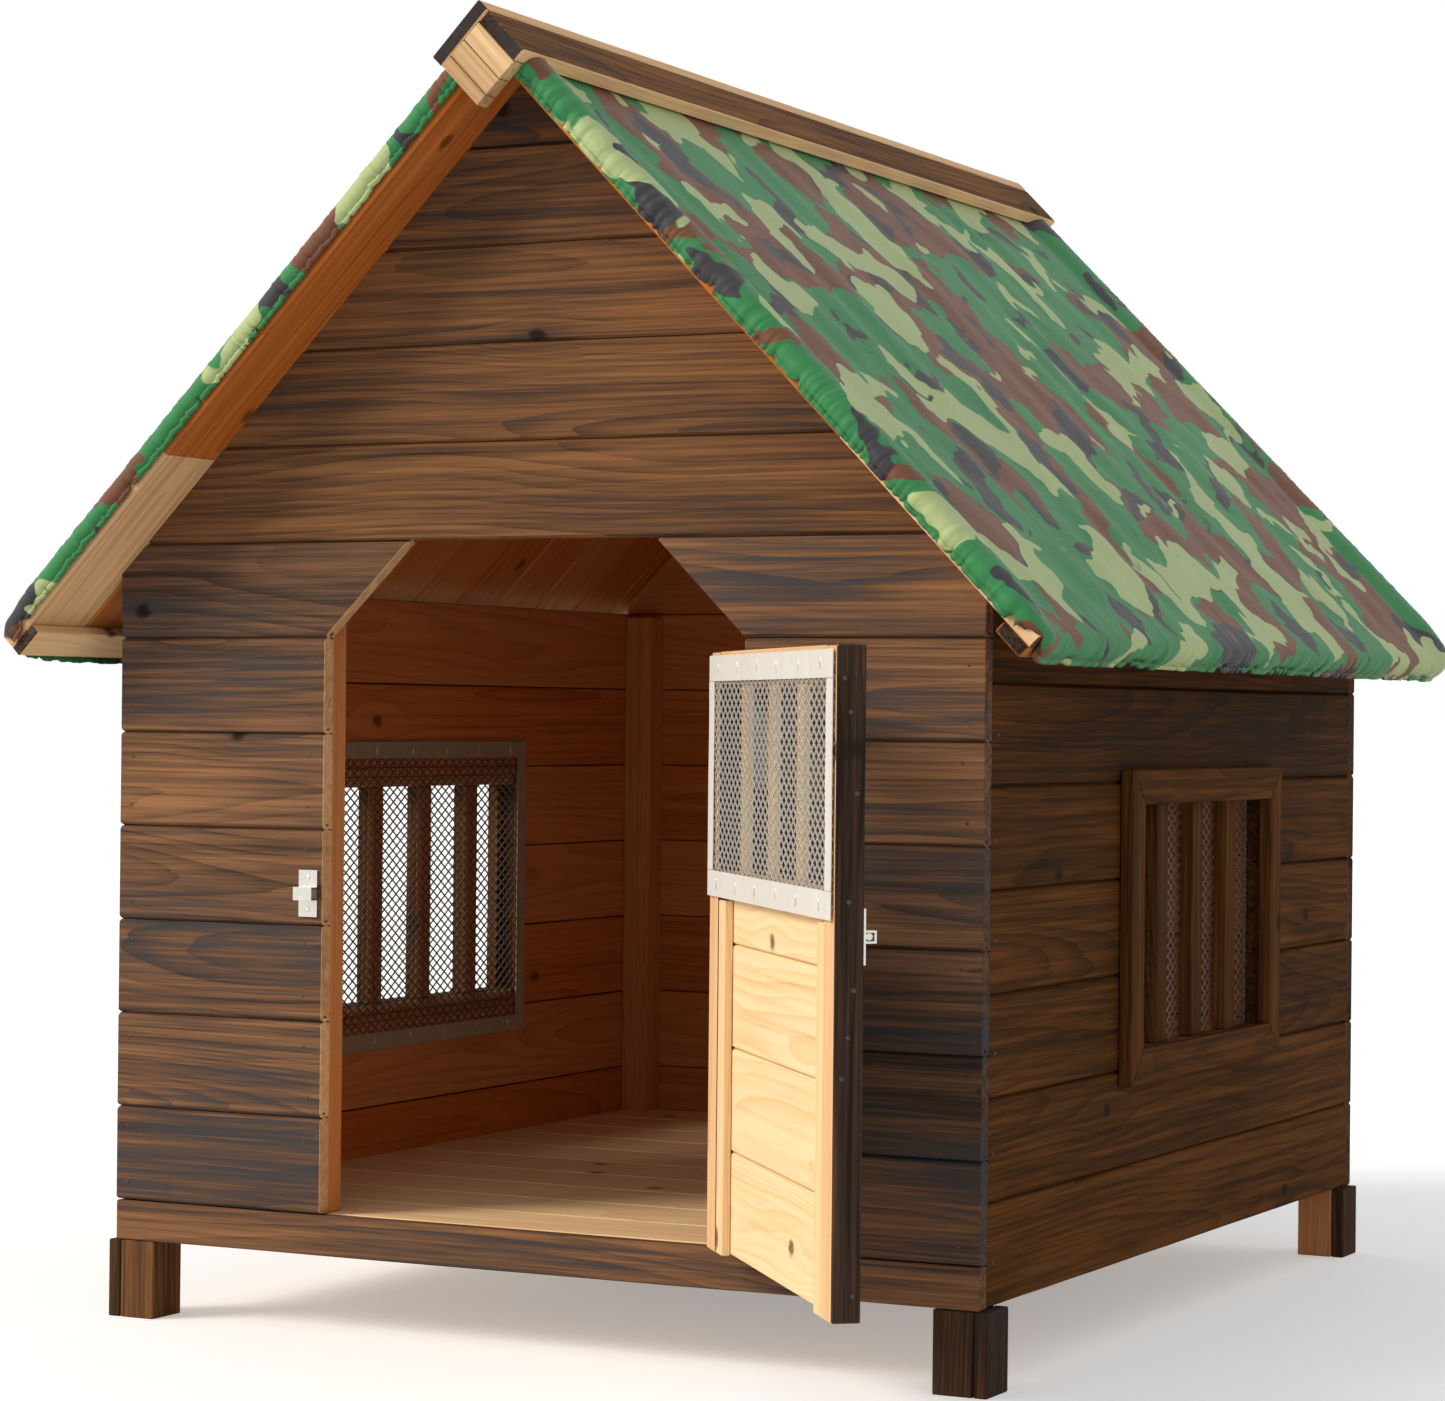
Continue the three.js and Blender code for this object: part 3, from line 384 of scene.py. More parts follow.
def grain_nodes(tree):
    """Growth rings, knots, streaks and fibres of a softwood board, from its own coordinates."""
    place = add(tree, "Attribute", attribute_name="grain").outputs["Vector"]
    lot = add(tree, "Attribute", attribute_name="lot").outputs["Vector"]
    away = add(tree, "VectorMath", {0: lot, "Scale": FAR}, operation="SCALE").outputs[0]
    tree_place = add(tree, "VectorMath", {0: place, 1: away}, operation="ADD").outputs[0]

    def stretched(scale, detail, roughness=0.5, distortion=0.0):
        spread = add(tree, "VectorMath", {0: tree_place, 1: scale}, operation="MULTIPLY").outputs[0]
        values = {"Vector": spread, "Scale": 1.0, "Detail": detail, "Roughness": roughness}
        return add(tree, "TexNoise", {**values, "Distortion": distortion})

    # Knots: one random point in a cell, kept in about half of the cells.
    cells = (1 / KNOT_CELL[0], 1 / KNOT_CELL[1], 0)
    knot_place = add(tree, "VectorMath", {0: tree_place, 1: cells}, operation="MULTIPLY").outputs[0]
    knots = add(tree, "TexVoronoi", {"Vector": knot_place, "Scale": 1.0}, voronoi_dimensions="2D")
    off = add(tree, "VectorMath", {0: knot_place, 1: knots.outputs["Position"]}, operation="SUBTRACT")
    real = add(tree, "VectorMath", {0: off.outputs[0], 1: (*KNOT_CELL, 0)}, operation="MULTIPLY").outputs[0]
    pick = add(tree, "SeparateColor", {0: knots.outputs["Color"]}).outputs[0]
    there = add(tree, "Math", {0: pick, 1: 0.52}, operation="GREATER_THAN").outputs[0]
    ragged = stretched((60, 200, 200), 2).outputs[0]
    bent = add(tree, "VectorMath", {0: real, 1: (1 / 0.050, 1 / 0.020, 0)}, operation="MULTIPLY").outputs[0]
    reach = add(tree, "VectorMath", {0: bent, 1: bent}, operation="DOT_PRODUCT").outputs["Value"]
    fall = add(tree, "Math", {0: reach, 1: -1.0}, operation="MULTIPLY").outputs[0]
    pull = add(tree, "Math", {0: fall}, operation="EXPONENT").outputs[0]
    pull = add(tree, "Math", {0: pull, 1: there}, operation="MULTIPLY").outputs[0]
    sideways = add(tree, "VectorMath", {0: real, 1: (0, -0.92, 0)}, operation="MULTIPLY").outputs[0]
    bend = add(tree, "VectorMath", {0: sideways, "Scale": pull}, operation="SCALE").outputs[0]
    oval = add(tree, "VectorMath", {0: real, 1: (0.75, 1, 0)}, operation="MULTIPLY").outputs[0]
    from_knot = add(tree, "VectorMath", {0: oval}, operation="LENGTH").outputs["Value"]
    uneven = add(tree, "Math", {0: ragged, 1: 7 * MM, 2: from_knot}, operation="MULTIPLY_ADD").outputs[0]
    grade = {0: uneven, 1: KNOT_RADIUS + 5.5 * MM, 2: KNOT_RADIUS, 3: 0.0, 4: 1.0}
    core = add(tree, "MapRange", grade, interpolation_type="SMOOTHSTEP").outputs[0]
    core = add(tree, "Math", {0: core, 1: there}, operation="MULTIPLY").outputs[0]

    # Rings round a pith that wanders slowly along the board, which draws the long pointed arches.
    drift = stretched((1.7, 7, 7), 1).outputs["Color"]
    drift = add(tree, "VectorMath", {0: drift, 1: (0.5, 0.5, 0.5)}, operation="SUBTRACT").outputs[0]
    drift = add(tree, "VectorMath", {0: drift, 1: (0, 0.05, 0.06)}, operation="MULTIPLY").outputs[0]
    pith = {0: lot, 1: (0, -0.08, -0.04), 2: (0, 0.04, PITH_BEHIND + 0.02)}
    pith = add(tree, "VectorMath", pith, operation="MULTIPLY_ADD").outputs[0]
    seen = add(tree, "VectorMath", {0: place, 1: pith}, operation="ADD").outputs[0]
    seen = add(tree, "VectorMath", {0: seen, 1: drift}, operation="ADD").outputs[0]
    seen = add(tree, "VectorMath", {0: seen, 1: bend}, operation="ADD").outputs[0]
    seen = add(tree, "VectorMath", {0: seen, 1: (0, 1, 1)}, operation="MULTIPLY").outputs[0]
    radius = add(tree, "VectorMath", {0: seen}, operation="LENGTH").outputs["Value"]
    own = add(tree, "SeparateXYZ", {0: lot}).outputs[0]
    pitch = add(tree, "MapRange", {0: own, 3: RING_PITCH[0], 4: RING_PITCH[1]}).outputs[0]
    turns = add(tree, "Math", {0: radius, 1: pitch}, operation="DIVIDE").outputs[0]
    waver = stretched((5, 70, 70), 2).outputs[0]
    turns = add(tree, "Math", {0: waver, 1: 0.7, 2: turns}, operation="MULTIPLY_ADD").outputs[0]
    within = add(tree, "Math", {0: turns}, operation="FRACT").outputs[0]
    ring = add(tree, "Math", {0: turns}, operation="FLOOR").outputs[0]
    strength = add(tree, "TexWhiteNoise", {"W": ring}, noise_dimensions="1D").outputs[0]
    strength = add(tree, "MapRange", {0: strength, 3: 0.25, 4: 1.0}).outputs[0]
    late = add(tree, "Math", {0: within, 1: 2.4}, operation="POWER").outputs[0]
    late = add(tree, "Math", {0: late, 1: strength}, operation="MULTIPLY").outputs[0]
    tint = add(tree, "Attribute", attribute_name="tint").outputs["Vector"]
    tint = add(tree, "SeparateXYZ", {0: tint}).outputs
    scorch = add(tree, "Attribute", attribute_name="scorch").outputs["Fac"]
    return {
        "burn": add(tree, "Math", {0: tint[0], 1: scorch}, operation="ADD").outputs[0],
        "rich": tint[1],
        "amber": tint[2],
        "late": late,
        "knot": core,
        "halo": pull,
        "streak": stretched((1.9, 120, 120), 4, 0.66).outputs[0],
        "fibre": stretched((11, 380, 380), 2, 0.6).outputs[0],
        "patch": stretched((3.4, 13, 13), 2, 0.5).outputs[0],
        "hatch": stretched((40, 26, 26), 2, 0.6).outputs[0],
    }


def weighted(tree, parts, start=0.0):
    """The sum of sockets, each times its weight."""
    total = start
    for socket, weight in parts:
        total = add(tree, "Math", {0: socket, 1: weight, 2: total}, operation="MULTIPLY_ADD").outputs[0]
    return total


def charred_spruce():
    """Spruce, flame-charred, wire-brushed and oiled: the brush clears the soft earlywood to brown and
    leaves the burnt latewood as dark raised lines with a dull sheen. Richer where more oil went in."""
    material, tree, shader = finish("charred spruce", IOR=1.5, Specular_IOR_Level=0.02)
    grain = grain_nodes(tree)
    c = colours()
    parts = [(grain["late"], 0.28), (grain["streak"], 1.2), (grain["patch"], 0.5), (grain["fibre"], 0.6)]
    burnt = weighted(tree, parts, -0.84)
    burnt = weighted(tree, [(grain["halo"], 0.1), (grain["burn"], 1.0)], burnt)
    brushed = [(0.0, c.char_ember), (0.32, c.char_brown), (0.62, c.char_deep), (0.95, c.char_black)]
    plain = add(tree, "ValToRGB", {0: burnt}, stops=brushed).outputs[0]
    oiled = [(0.0, c.oil_ember), (0.32, c.oil_brown), (0.62, c.oil_deep), (0.95, c.char_black)]
    rich = add(tree, "ValToRGB", {0: burnt}, stops=oiled).outputs[0]
    # Painted sheen over real soot: dark patches turn blue-grey, standing for white light reflected off the char.
    soot_and_sheen = add(tree, "MapRange", {0: grain["patch"], 1: 0.45, 2: 0.6, 3: 0.0, 4: 0.75}).outputs[0]
    dark = add(tree, "MapRange", {0: burnt, 1: 0.3, 2: 0.6}).outputs[0]
    soot_and_sheen = add(tree, "Math", {0: soot_and_sheen, 1: dark}, operation="MULTIPLY").outputs[0]
    sheen_slate = linear("#474648")  # dark soot with painted sheen: the blue-grey that the charred streaks reflect, laid into the colour beside the brown
    plain = add(tree, "Mix", {0: soot_and_sheen, 6: plain, 7: sheen_slate}, data_type="RGBA").outputs[2]
    wood = add(tree, "Mix", {0: grain["rich"], 6: plain, 7: rich}, data_type="RGBA").outputs[2]
    wood = add(tree, "Mix", {0: grain["knot"], 6: wood, 7: c.char_black}, data_type="RGBA").outputs[2]
    tree.links.new(wood, shader.inputs["Base Color"])
    dull = add(tree, "MapRange", {0: burnt, 3: 0.75, 4: 0.6}).outputs[0]
    tree.links.new(dull, shader.inputs["Roughness"])
    relief = weighted(tree, [(grain["late"], 0.7), (grain["fibre"], 0.5), (grain["knot"], -0.4)])
    bump = add(tree, "Bump", {"Height": relief, "Distance": 0.5 * MM, "Strength": 0.8})
    tree.links.new(bump.outputs[0], shader.inputs["Normal"])
    return material


def planed_fir():
    """Fir, planed and lightly oiled: pale earlywood, honey latewood, small red-brown knots. The corners
    of each board say how far it has turned from pale to amber and how soiled it is."""
    material, tree, shader = finish("planed fir", IOR=1.5, Specular_IOR_Level=0.04)
    grain = grain_nodes(tree)
    c = colours()
    tone = weighted(tree, [(grain["late"], 0.55), (grain["streak"], 0.9), (grain["fibre"], 0.3)], -0.42)
    pale = add(tree, "ValToRGB", {0: tone}, stops=[(0.0, c.fir_pale), (1.0, c.fir_gold)]).outputs[0]
    amber = add(tree, "ValToRGB", {0: tone}, stops=[(0.0, c.fir_amber), (1.0, c.fir_rust)]).outputs[0]
    turned = weighted(tree, [(grain["amber"], 1.0), (grain["patch"], 0.2)], -0.1)
    turned = add(tree, "Clamp", {0: turned}).outputs[0]
    wood = add(tree, "Mix", {0: turned, 6: pale, 7: amber}, data_type="RGBA").outputs[2]
    soil = weighted(tree, [(grain["burn"], 1.6), (grain["streak"], 0.8)], -0.45)
    soil = add(tree, "Clamp", {0: soil}).outputs[0]
    wood = add(tree, "Mix", {0: soil, 6: wood, 7: linear("#54402f")}, data_type="RGBA").outputs[2]
    stain = add(tree, "Math", {0: grain["knot"], 1: 0.85}, operation="MULTIPLY").outputs[0]
    wood = add(tree, "Mix", {0: stain, 6: wood, 7: linear("#6b3a1c")}, data_type="RGBA").outputs[2]
    tree.links.new(wood, shader.inputs["Base Color"])
    dull = add(tree, "MapRange", {0: grain["fibre"], 3: 0.5, 4: 0.68}).outputs[0]
    tree.links.new(dull, shader.inputs["Roughness"])
    relief = weighted(tree, [(grain["late"], 0.25), (grain["fibre"], 0.3)])
    bump = add(tree, "Bump", {"Height": relief, "Distance": 0.3 * MM, "Strength": 0.6})
    tree.links.new(bump.outputs[0], shader.inputs["Normal"])
    return material


def camouflage_cloth():
    """Coated polyester taffeta, printed in a woodland camouflage: flat colours with crisp edges, a soft
    sheen from the coating, and a fine plain weave, drawn at 1.6 mm because its threads are too fine."""
    material, tree, shader = finish("camouflage taffeta", IOR=1.45, Sheen_Weight=0.05, Specular_IOR_Level=0.12)
    c = colours()
    cloth = add(tree, "Attribute", attribute_name="cloth").outputs["Vector"]
    warp = {"Vector": cloth, "Scale": 19.0, "Detail": 2.0, "Roughness": 0.5}
    warped = add(tree, "TexNoise", warp).outputs["Color"]
    pushed = {0: warped, 1: (0.1, 0.085, 0), 2: cloth}
    pushed = add(tree, "VectorMath", pushed, operation="MULTIPLY_ADD").outputs[0]

    # The cloth is cut so that its gable border is mostly green.
    border = add(tree, "SeparateXYZ", {0: cloth}).outputs[1]
    border = add(tree, "MapRange", {0: border, 1: -0.455, 2: -0.375, 3: 0.07, 4: 0.0}).outputs[0]

    def patches(offset, scale, level, kept_off=0.0):
        moved = add(tree, "VectorMath", {0: pushed, 1: offset}, operation="ADD").outputs[0]
        spread = add(tree, "VectorMath", {0: moved, 1: scale}, operation="MULTIPLY").outputs[0]
        field = {"Vector": spread, "Scale": 1.0, "Detail": 1.0, "Roughness": 0.4, "Distortion": 0.25}
        height = add(tree, "TexNoise", field).outputs[0]
        height = weighted(tree, [(border, -kept_off)], height)
        edge = {0: height, 1: level - 0.004, 2: level + 0.004}
        return add(tree, "MapRange", edge, interpolation_type="SMOOTHSTEP").outputs[0]

    print_colour = c.camo_green
    layers = [
        (patches((3.1, 0.4, 0), (9.0, 8.6, 0), 0.517, 1.0), c.camo_brown),
        (patches((1.3, 8.2, 0), (16, 13.5, 0), 0.607, 0.3), c.camo_dark),
        (patches((7.7, 2.9, 0), (13, 12.5, 0), 0.580, 0.4), c.camo_pale),
    ]
    for mask, value in layers:
        layer = {0: mask, 6: print_colour, 7: value}
        print_colour = add(tree, "Mix", layer, data_type="RGBA").outputs[2]
    fade = add(tree, "TexNoise", {"Vector": cloth, "Scale": 9.0, "Detail": 3.0}).outputs[0]
    fade = add(tree, "MapRange", {0: fade, 1: 0.3, 2: 0.7, 3: 0.93, 4: 1.06}).outputs[0]
    worn = {"Hue": 0.5, "Saturation": 1.0, "Value": fade, "Color": print_colour}
    tree.links.new(add(tree, "HueSaturation", worn).outputs[0], shader.inputs["Base Color"])
    shader.inputs["Roughness"].default_value = 0.5
    across =add(tree, "TexWave", {"Vector": cloth, "Scale": 200.0}, bands_direction="X").outputs["Fac"]
    along = add(tree, "TexWave", {"Vector": cloth, "Scale": 200.0}, bands_direction="Y").outputs["Fac"]
    weave = add(tree, "Math", {0: across, 1: along}, operation="MULTIPLY").outputs[0]
    crease = {"Vector": cloth, "Scale": 34.0, "Detail": 3.0, "Roughness": 0.6, "Distortion": 0.8}
    crease = add(tree, "TexNoise", crease).outputs[0]
    relief = weighted(tree, [(weave, 0.08), (crease, 1.0)])
    bump = add(tree, "Bump", {"Height": relief, "Distance": 3.0 * MM, "Strength": 0.7})
    tree.links.new(bump.outputs[0], shader.inputs["Normal"])
    return material


def metal(name, hex_value, roughness, spread, scale, stretch=(1, 1, 1), bare=1.0):
    """A metal whose polish varies a little over its surface; `bare` falls where a dull film lies on it."""
    material, tree, shader = finish(name, Metallic=bare, Base_Color=linear(hex_value))
    place = add(tree, "TexCoord").outputs["Object"]
    spread_out = add(tree, "VectorMath", {0: place, 1: stretch}, operation="MULTIPLY").outputs[0]
    marks = {"Vector": spread_out, "Scale": scale, "Detail": 3.0, "Roughness": 0.6}
    marks = add(tree, "TexNoise", marks).outputs[0]
    levels = {0: marks, 1: 0.3, 2: 0.7, 3: roughness - spread, 4: roughness + spread}
    tree.links.new(add(tree, "MapRange", levels).outputs[0], shader.inputs["Roughness"])
    bump = add(tree, "Bump", {"Height": marks, "Distance": 0.15 * MM, "Strength": 0.5})
    tree.links.new(bump.outputs[0], shader.inputs["Normal"])
    return material


def sewing_thread():
    """Polyester sewing thread, tan: matt, with a twist too fine to show."""
    material, tree, shader = finish("sewing thread", Roughness=0.8, IOR=1.45)
    place = add(tree, "TexCoord").outputs["Object"]
    twist = add(tree, "TexNoise", {"Vector": place, "Scale": 400.0, "Detail": 1.0}).outputs[0]
    stops = [(0.3, linear("#7a6338")), (0.7, linear("#b09a63"))]
    tree.links.new(add(tree, "ValToRGB", {0: twist}, stops=stops).outputs[0], shader.inputs["Base Color"])
    return material


MAKERS = {
    "charred": charred_spruce,
    "fir": planed_fir,
    "cloth": camouflage_cloth,
    # Mill-finish aluminium strip under its pale oxide film: nearly white, with long faint roll marks.
    "strip": lambda: metal("oxidised aluminium", "#e2ded6", 0.5, 0.08, 90, (1, 1, 0.2), bare=0.15),
    # The same strip indoors, darker and browner: painted shade for the warm shade inside the house.
    "strip in painted shade": lambda: metal("aluminium in painted shade", "#a79a88", 0.6, 0.08, 90, (1, 1, 0.2), bare=0.1),
    # Galvanised expanded steel: grey zinc under a dull white film.
    "net": lambda: metal("galvanised steel", "#b8b7b2", 0.5, 0.12, 220, bare=0.35),
    # The same net in the side windows, darker: painted shade for the shade it sits in.
    "net in painted shade": lambda: metal("galvanised steel in painted shade", "#6d665d", 0.6, 0.12, 220, bare=0.3),
    # Bright zinc plate over pressed steel: clear, a little cloudy.
    "zinc": lambda: metal("bright zinc plate", "#d5d3cc", 0.3, 0.08, 160),
    # Bright wire nails, weathered: small dark heads.
    "nail": lambda: metal("weathered wire nail", "#4a4541", 0.6, 0.1, 300, bare=0.6),
    "thread": sewing_thread,
}
_made = {}


def material(name):
    """Each finish is made once."""
    if name not in _made:
        _made[name] = MAKERS[name]()
    return _made[name]


def wood_finishes():
    """Slot 0 is the charred face and slot 1 the planed one."""
    return [material("charred"), material("fir")]


CHAR, FIR = 0, 1


# ---------------------------------------------------------------- walls


def wall_board(pile, own, along, across, out, **how):
    """A matched wall board: V-jointed on the weather side, a fine line on the inside."""
    s = sizes()
    how.setdefault("chamfer", (s.joint_wide, s.joint_deep))
    how.setdefault("back", 0.8 * MM)
    how.setdefault("finish", (CHAR, FIR, CHAR))
    how.setdefault("rough", s.edge_rough)
    how.setdefault("matched", (True, True))
    board(pile, own, along, opened(*across), out, **how)


# How burnt, how rich and how amber the boards of each part of the house are.
FACADE = (0.0, 0.0, 0.3)
FLANK = (0.02, 1.0, 0.9)
FLANK_LOW = (-0.14, 1.0, 0.9)  # the lowest boards of a side wall, more worn
WORN_BELOW = 230 * MM
DOOR_SHADOW_BELOW = 430 * MM  # painted shade: the boards behind the open door get a darker burn below this height, standing for the door's shadow
BEHIND = (0.03, 0.6, 0.9)
INDOORS = (0.05, 1.0, 0.85)


def roof_line():
    """Half the width between the roof's undersides at a height, from the gable boards' own outline."""
    (_, half), (foot, top), _ = extent("front_gable_boards", FRONT)
    return lambda z: half * (top - z) / (top - foot)


def lay_front():
    cover = sizes().board_cover
    half_width = roof_line()
    wall_half = extent("sill_board", FRONT)[0][1]
    for name, side in SIDES.items():
        node = f"front_boards_{name}"
        pile = Pile(node)
        along, across, out = extent(node, FRONT)
        caps = (CHAR, FIR) if side < 0 else (FIR, CHAR)
        for low, high in rows(*across, across[0], cover):
            # Painted shade: the boards right of the door, low down, take a darker burn that stands for the open door's
            # shadow.
            wall_board(pile, FRONT, along, (low, high), out, caps=caps, tint=(0.13, 0, 0.3) if side > 0 and high < DOOR_SHADOW_BELOW else FACADE, spread=0.08, matched=(low > across[0], True))
        wooden(pile, "charred", wood_finishes(), node)

        node = f"front_header_{name}"
        pile = Pile(node)
        along, across, out = extent(node, FRONT)
        foot, top = across
        shoulder = foot + (cover - (along[1] - along[0] - (wall_half - extent("front_boards_left", FRONT)[0][1])))
        inner_foot = -extent("front_boards_left", FRONT)[0][1]

        def ends(z, side=side, foot=foot, inner_foot=inner_foot):
            outer = min(wall_half, half_width(z))
            inner = inner_foot - (z - foot)
            return (-outer, -inner) if side < 0 else (inner, outer)

        bend = [z for z in [eave_height()] if foot < z < top]
        wall_board(pile, FRONT, along, across, out, ends=ends, caps=caps, breaks=bend, tint=(0.16 if side < 0 else 0.0, 0, 0.3))
        wooden(pile, "charred", wood_finishes(), node)

    node = "front_gable_boards"
    pile = Pile(node)
    along, across, out = extent(node, FRONT)
    for low, high in rows(*across, across[0], cover):
        wall_board(
            pile, FRONT, along, (low, high), out, ends=lambda z: (-half_width(z), half_width(z)),
            tint=(-0.08, 0.45, 0.9), spread=0.08, matched=(True, high < across[1]),
        )
    wooden(pile, "charred", wood_finishes(), node)

    pile = Pile("sill_board")
    along, across, out = extent("sill_board", FRONT)
    board(pile, FRONT, along, across, out, finish=(CHAR, FIR, CHAR), rough=sizes().edge_rough, tint=(-0.08, 0.1, 0.6))
    wooden(pile, "charred", wood_finishes(), "sill_board", arris=1.2 * MM)


def eave_height():
    """Where the end of a gable wall turns from upright to the roof's slope."""
    wall_half = extent("sill_board", FRONT)[0][1]
    (_, half), (foot, top), _ = extent("front_gable_boards", FRONT)
    return top - (top - foot) * wall_half / half


def lay_back():
    half_width = roof_line()
    along, across, out = extent("back_wall_boards", BACK)
    pile = Pile("back_wall_boards")
    for low, high in rows(*across, across[0], sizes().board_cover):
        wall_board(
            pile, BACK, along, (low, high), out, tint=BEHIND, spread=0.1,
            matched=(low > across[0], high < across[1]),
            ends=lambda z: (-min(along[1], half_width(z)), min(along[1], half_width(z))),
            breaks=[z for z in [eave_height()] if low + 5 * MM < z < high - 5 * MM],
        )
    wooden(pile, "charred", wood_finishes(), "back_wall_boards")


def lay_sides():
    for name in SIDES:
        node = f"side_boards_{name}"
        own = WALL_SIDE[name]
        along, across, out = extent(node, own)
        hole_along, hole_across, _ = extent(f"window_bars_{name}", own)
        pile = Pile(node)
        for low, high in rows(*across, across[0], sizes().board_cover):
            lot_state = pile.random.getstate()
            hit = low < hole_across[1] and high > hole_across[0]
            spans = [along] if not hit else [(along[0], hole_along[0]), (hole_along[1], along[1])]
            for span in spans:
                pile.random.setstate(lot_state)
                wall_board(
                    pile, own, span, (low, high), out, tint=FLANK_LOW if high < WORN_BELOW else FLANK, spread=0.1,
                    matched=(low > across[0], high < across[1]),
                )
            if hit:
                for part in ((low, hole_across[0]), (hole_across[1], high)):
                    if part[1] - part[0] > 5 * MM:
                        pile.random.setstate(lot_state)
                        board(pile, own, hole_along, part, out, finish=(CHAR, FIR, CHAR), tint=FLANK)
        wooden(pile, "charred", wood_finishes(), node)


def stand_posts():
    for end in ("front", "rear"):
        for name in SIDES:
            node = f"corner_post_{end}_{name}"
            pile = Pile(node)
            board(pile, UPRIGHT, *extent(node, UPRIGHT), finish=(FIR, FIR, FIR), rough=0.2 * MM, tint=INDOORS)
            wooden(pile, "bare", wood_finishes(), node, arris=1 * MM)
    for name in SIDES:
        node = f"jamb_batten_{name}"
        pile = Pile(node)
        board(pile, UPRIGHT, *extent(node, UPRIGHT), finish=(FIR, FIR, FIR), rough=0.2 * MM, tint=(0.0, 0, 0.85))
        wooden(pile, "bare", wood_finishes(), node, arris=0.8 * MM)


CHEEK = 12 * MM  # thin board nailed to the outer face of each foot
FOOT_TINTS = {
    ("front", "left"): (-0.2, 0.6, 0),
    ("front", "right"): (0.2, 0.5, 0),
    ("rear", "left"): (0.05, 0.8, 0),
    ("rear", "right"): (0.1, 0.7, 0.75),
}


def stand_feet():
    for end in ("front", "rear"):
        for name, side in SIDES.items():
            node = f"foot_{end}_{name}"
            pile = Pile(node)
            along, across, out = extent(node, UPRIGHT)
            outer = across[1] if side > 0 else across[0]
            split = outer - side * CHEEK
            post = tuple(sorted((split - side * 0.3 * MM, across[0] if side > 0 else across[1])))
            cheek = tuple(sorted((split + side * 0.3 * MM, outer)))
            worn = FOOT_TINTS[end, name]
            faces = (FIR, FIR, FIR) if worn[2] else (CHAR, CHAR, CHAR)
            board(pile, UPRIGHT, along, post, out, rough=0.3 * MM, tint=worn, finish=faces)
            board(pile, UPRIGHT, along, cheek, out, rough=0.3 * MM, tint=(0.25, 0.6, 0))
            wooden(pile, "charred", wood_finishes(), node, arris=0.9 * MM)


FLOOR_GAP = 0.8 * MM  # half the open line between two floor boards, which have shrunk apart


def lay_floor():
    s = sizes()
    along, across, out = extent("floor_boards", FLAT)
    post = extent("corner_post_front_left", FLAT)[0]
    notch_side = post[1] + 0.3 * MM
    depth = extent("corner_post_front_left", FLAT)[1][1] + 0.3 * MM
    rear = extent("corner_post_rear_left", FLAT)[1][0] - 0.3 * MM
    pile = Pile("floor_boards")

    def ends(y):
        return (notch_side, -notch_side) if y < depth or y > rear else along

    for low, high in rows(*across, across[0], s.floor_cover):
        breaks = [y + d for y in (depth, rear) for d in (-0.05 * MM, 0.05 * MM) if low < y < high]
        board(
            pile, FLAT, along, (low + FLOOR_GAP, high - FLOOR_GAP), out, ends=ends, breaks=breaks, back=0.5 * MM,
            chamfer=(2.0 * MM, 1.6 * MM), finish=(FIR, FIR, FIR), rough=0 if breaks else 0.2 * MM,
            tint=(-0.2, 0, 0.1), spread=0.1,
        )
    wooden(pile, "bare", wood_finishes(), "floor_boards")
    for name in SIDES:
        node = f"floor_bearer_{name}"
        pile = Pile(node)
        board(pile, DEEP, *extent(node, DEEP), finish=(FIR, FIR, FIR), rough=0.2 * MM, tint=(0, 0, 0.4))
        wooden(pile, "bare", wood_finishes(), node)


# ---------------------------------------------------------------- windows


CASING = (-0.08, 1.0, 0.6)


def casing(name):
    """Four boards round a side window, mitred where they meet."""
    node = f"window_casing_{name}"
    own = WALL_SIDE[name]
    along, across, out = extent(node, own)
    hole = extent(f"window_bars_{name}", own)
    lap = 10 * MM
    clear_along = (hole[0][0] + lap, hole[0][1] - lap)
    clear_across = (hole[1][0] + lap, hole[1][1] - lap)
    pile = Pile(node)
    gap = 0.25 * MM
    turned = own @ axes(Y, X, -Z)
    flat_out = (-out[1], -out[0])
    for low, high, inner in (
        (across[0], clear_across[0], True),
        (clear_across[1], across[1], False),
    ):
        def ends(b, low=low, high=high, inner=inner):
            share = (b - low) / (high - low)
            if not inner:
                share = 1 - share
            wide = clear_along[0] - along[0]
            return along[0] + share * wide + gap, along[1] - share * wide - gap

        board(pile, own, along, (low, high), out, ends=ends, rough=0.25 * MM, tint=CASING, spread=0.1)
    for low, high, first in (
        (along[0], clear_along[0], True),
        (clear_along[1], along[1], False),
    ):
        def ends(b, low=low, high=high, first=first):
            share = (b - low) / (high - low)
            if not first:
                share = 1 - share
            tall = clear_across[0] - across[0]
            return across[0] + share * tall + gap, across[1] - share * tall - gap

        upright = own @ Matrix(((0, 1, 0, 0), (1, 0, 0, 0), (0, 0, 1, 0), (0, 0, 0, 1)))
        board(pile, upright, across, (low, high), out, ends=ends, rough=0.25 * MM, tint=CASING, spread=0.1)
    wooden(pile, "charred", wood_finishes(), node, arris=1.0 * MM)


BAR_COUNT = 3
BAR_WIDE = 27 * MM


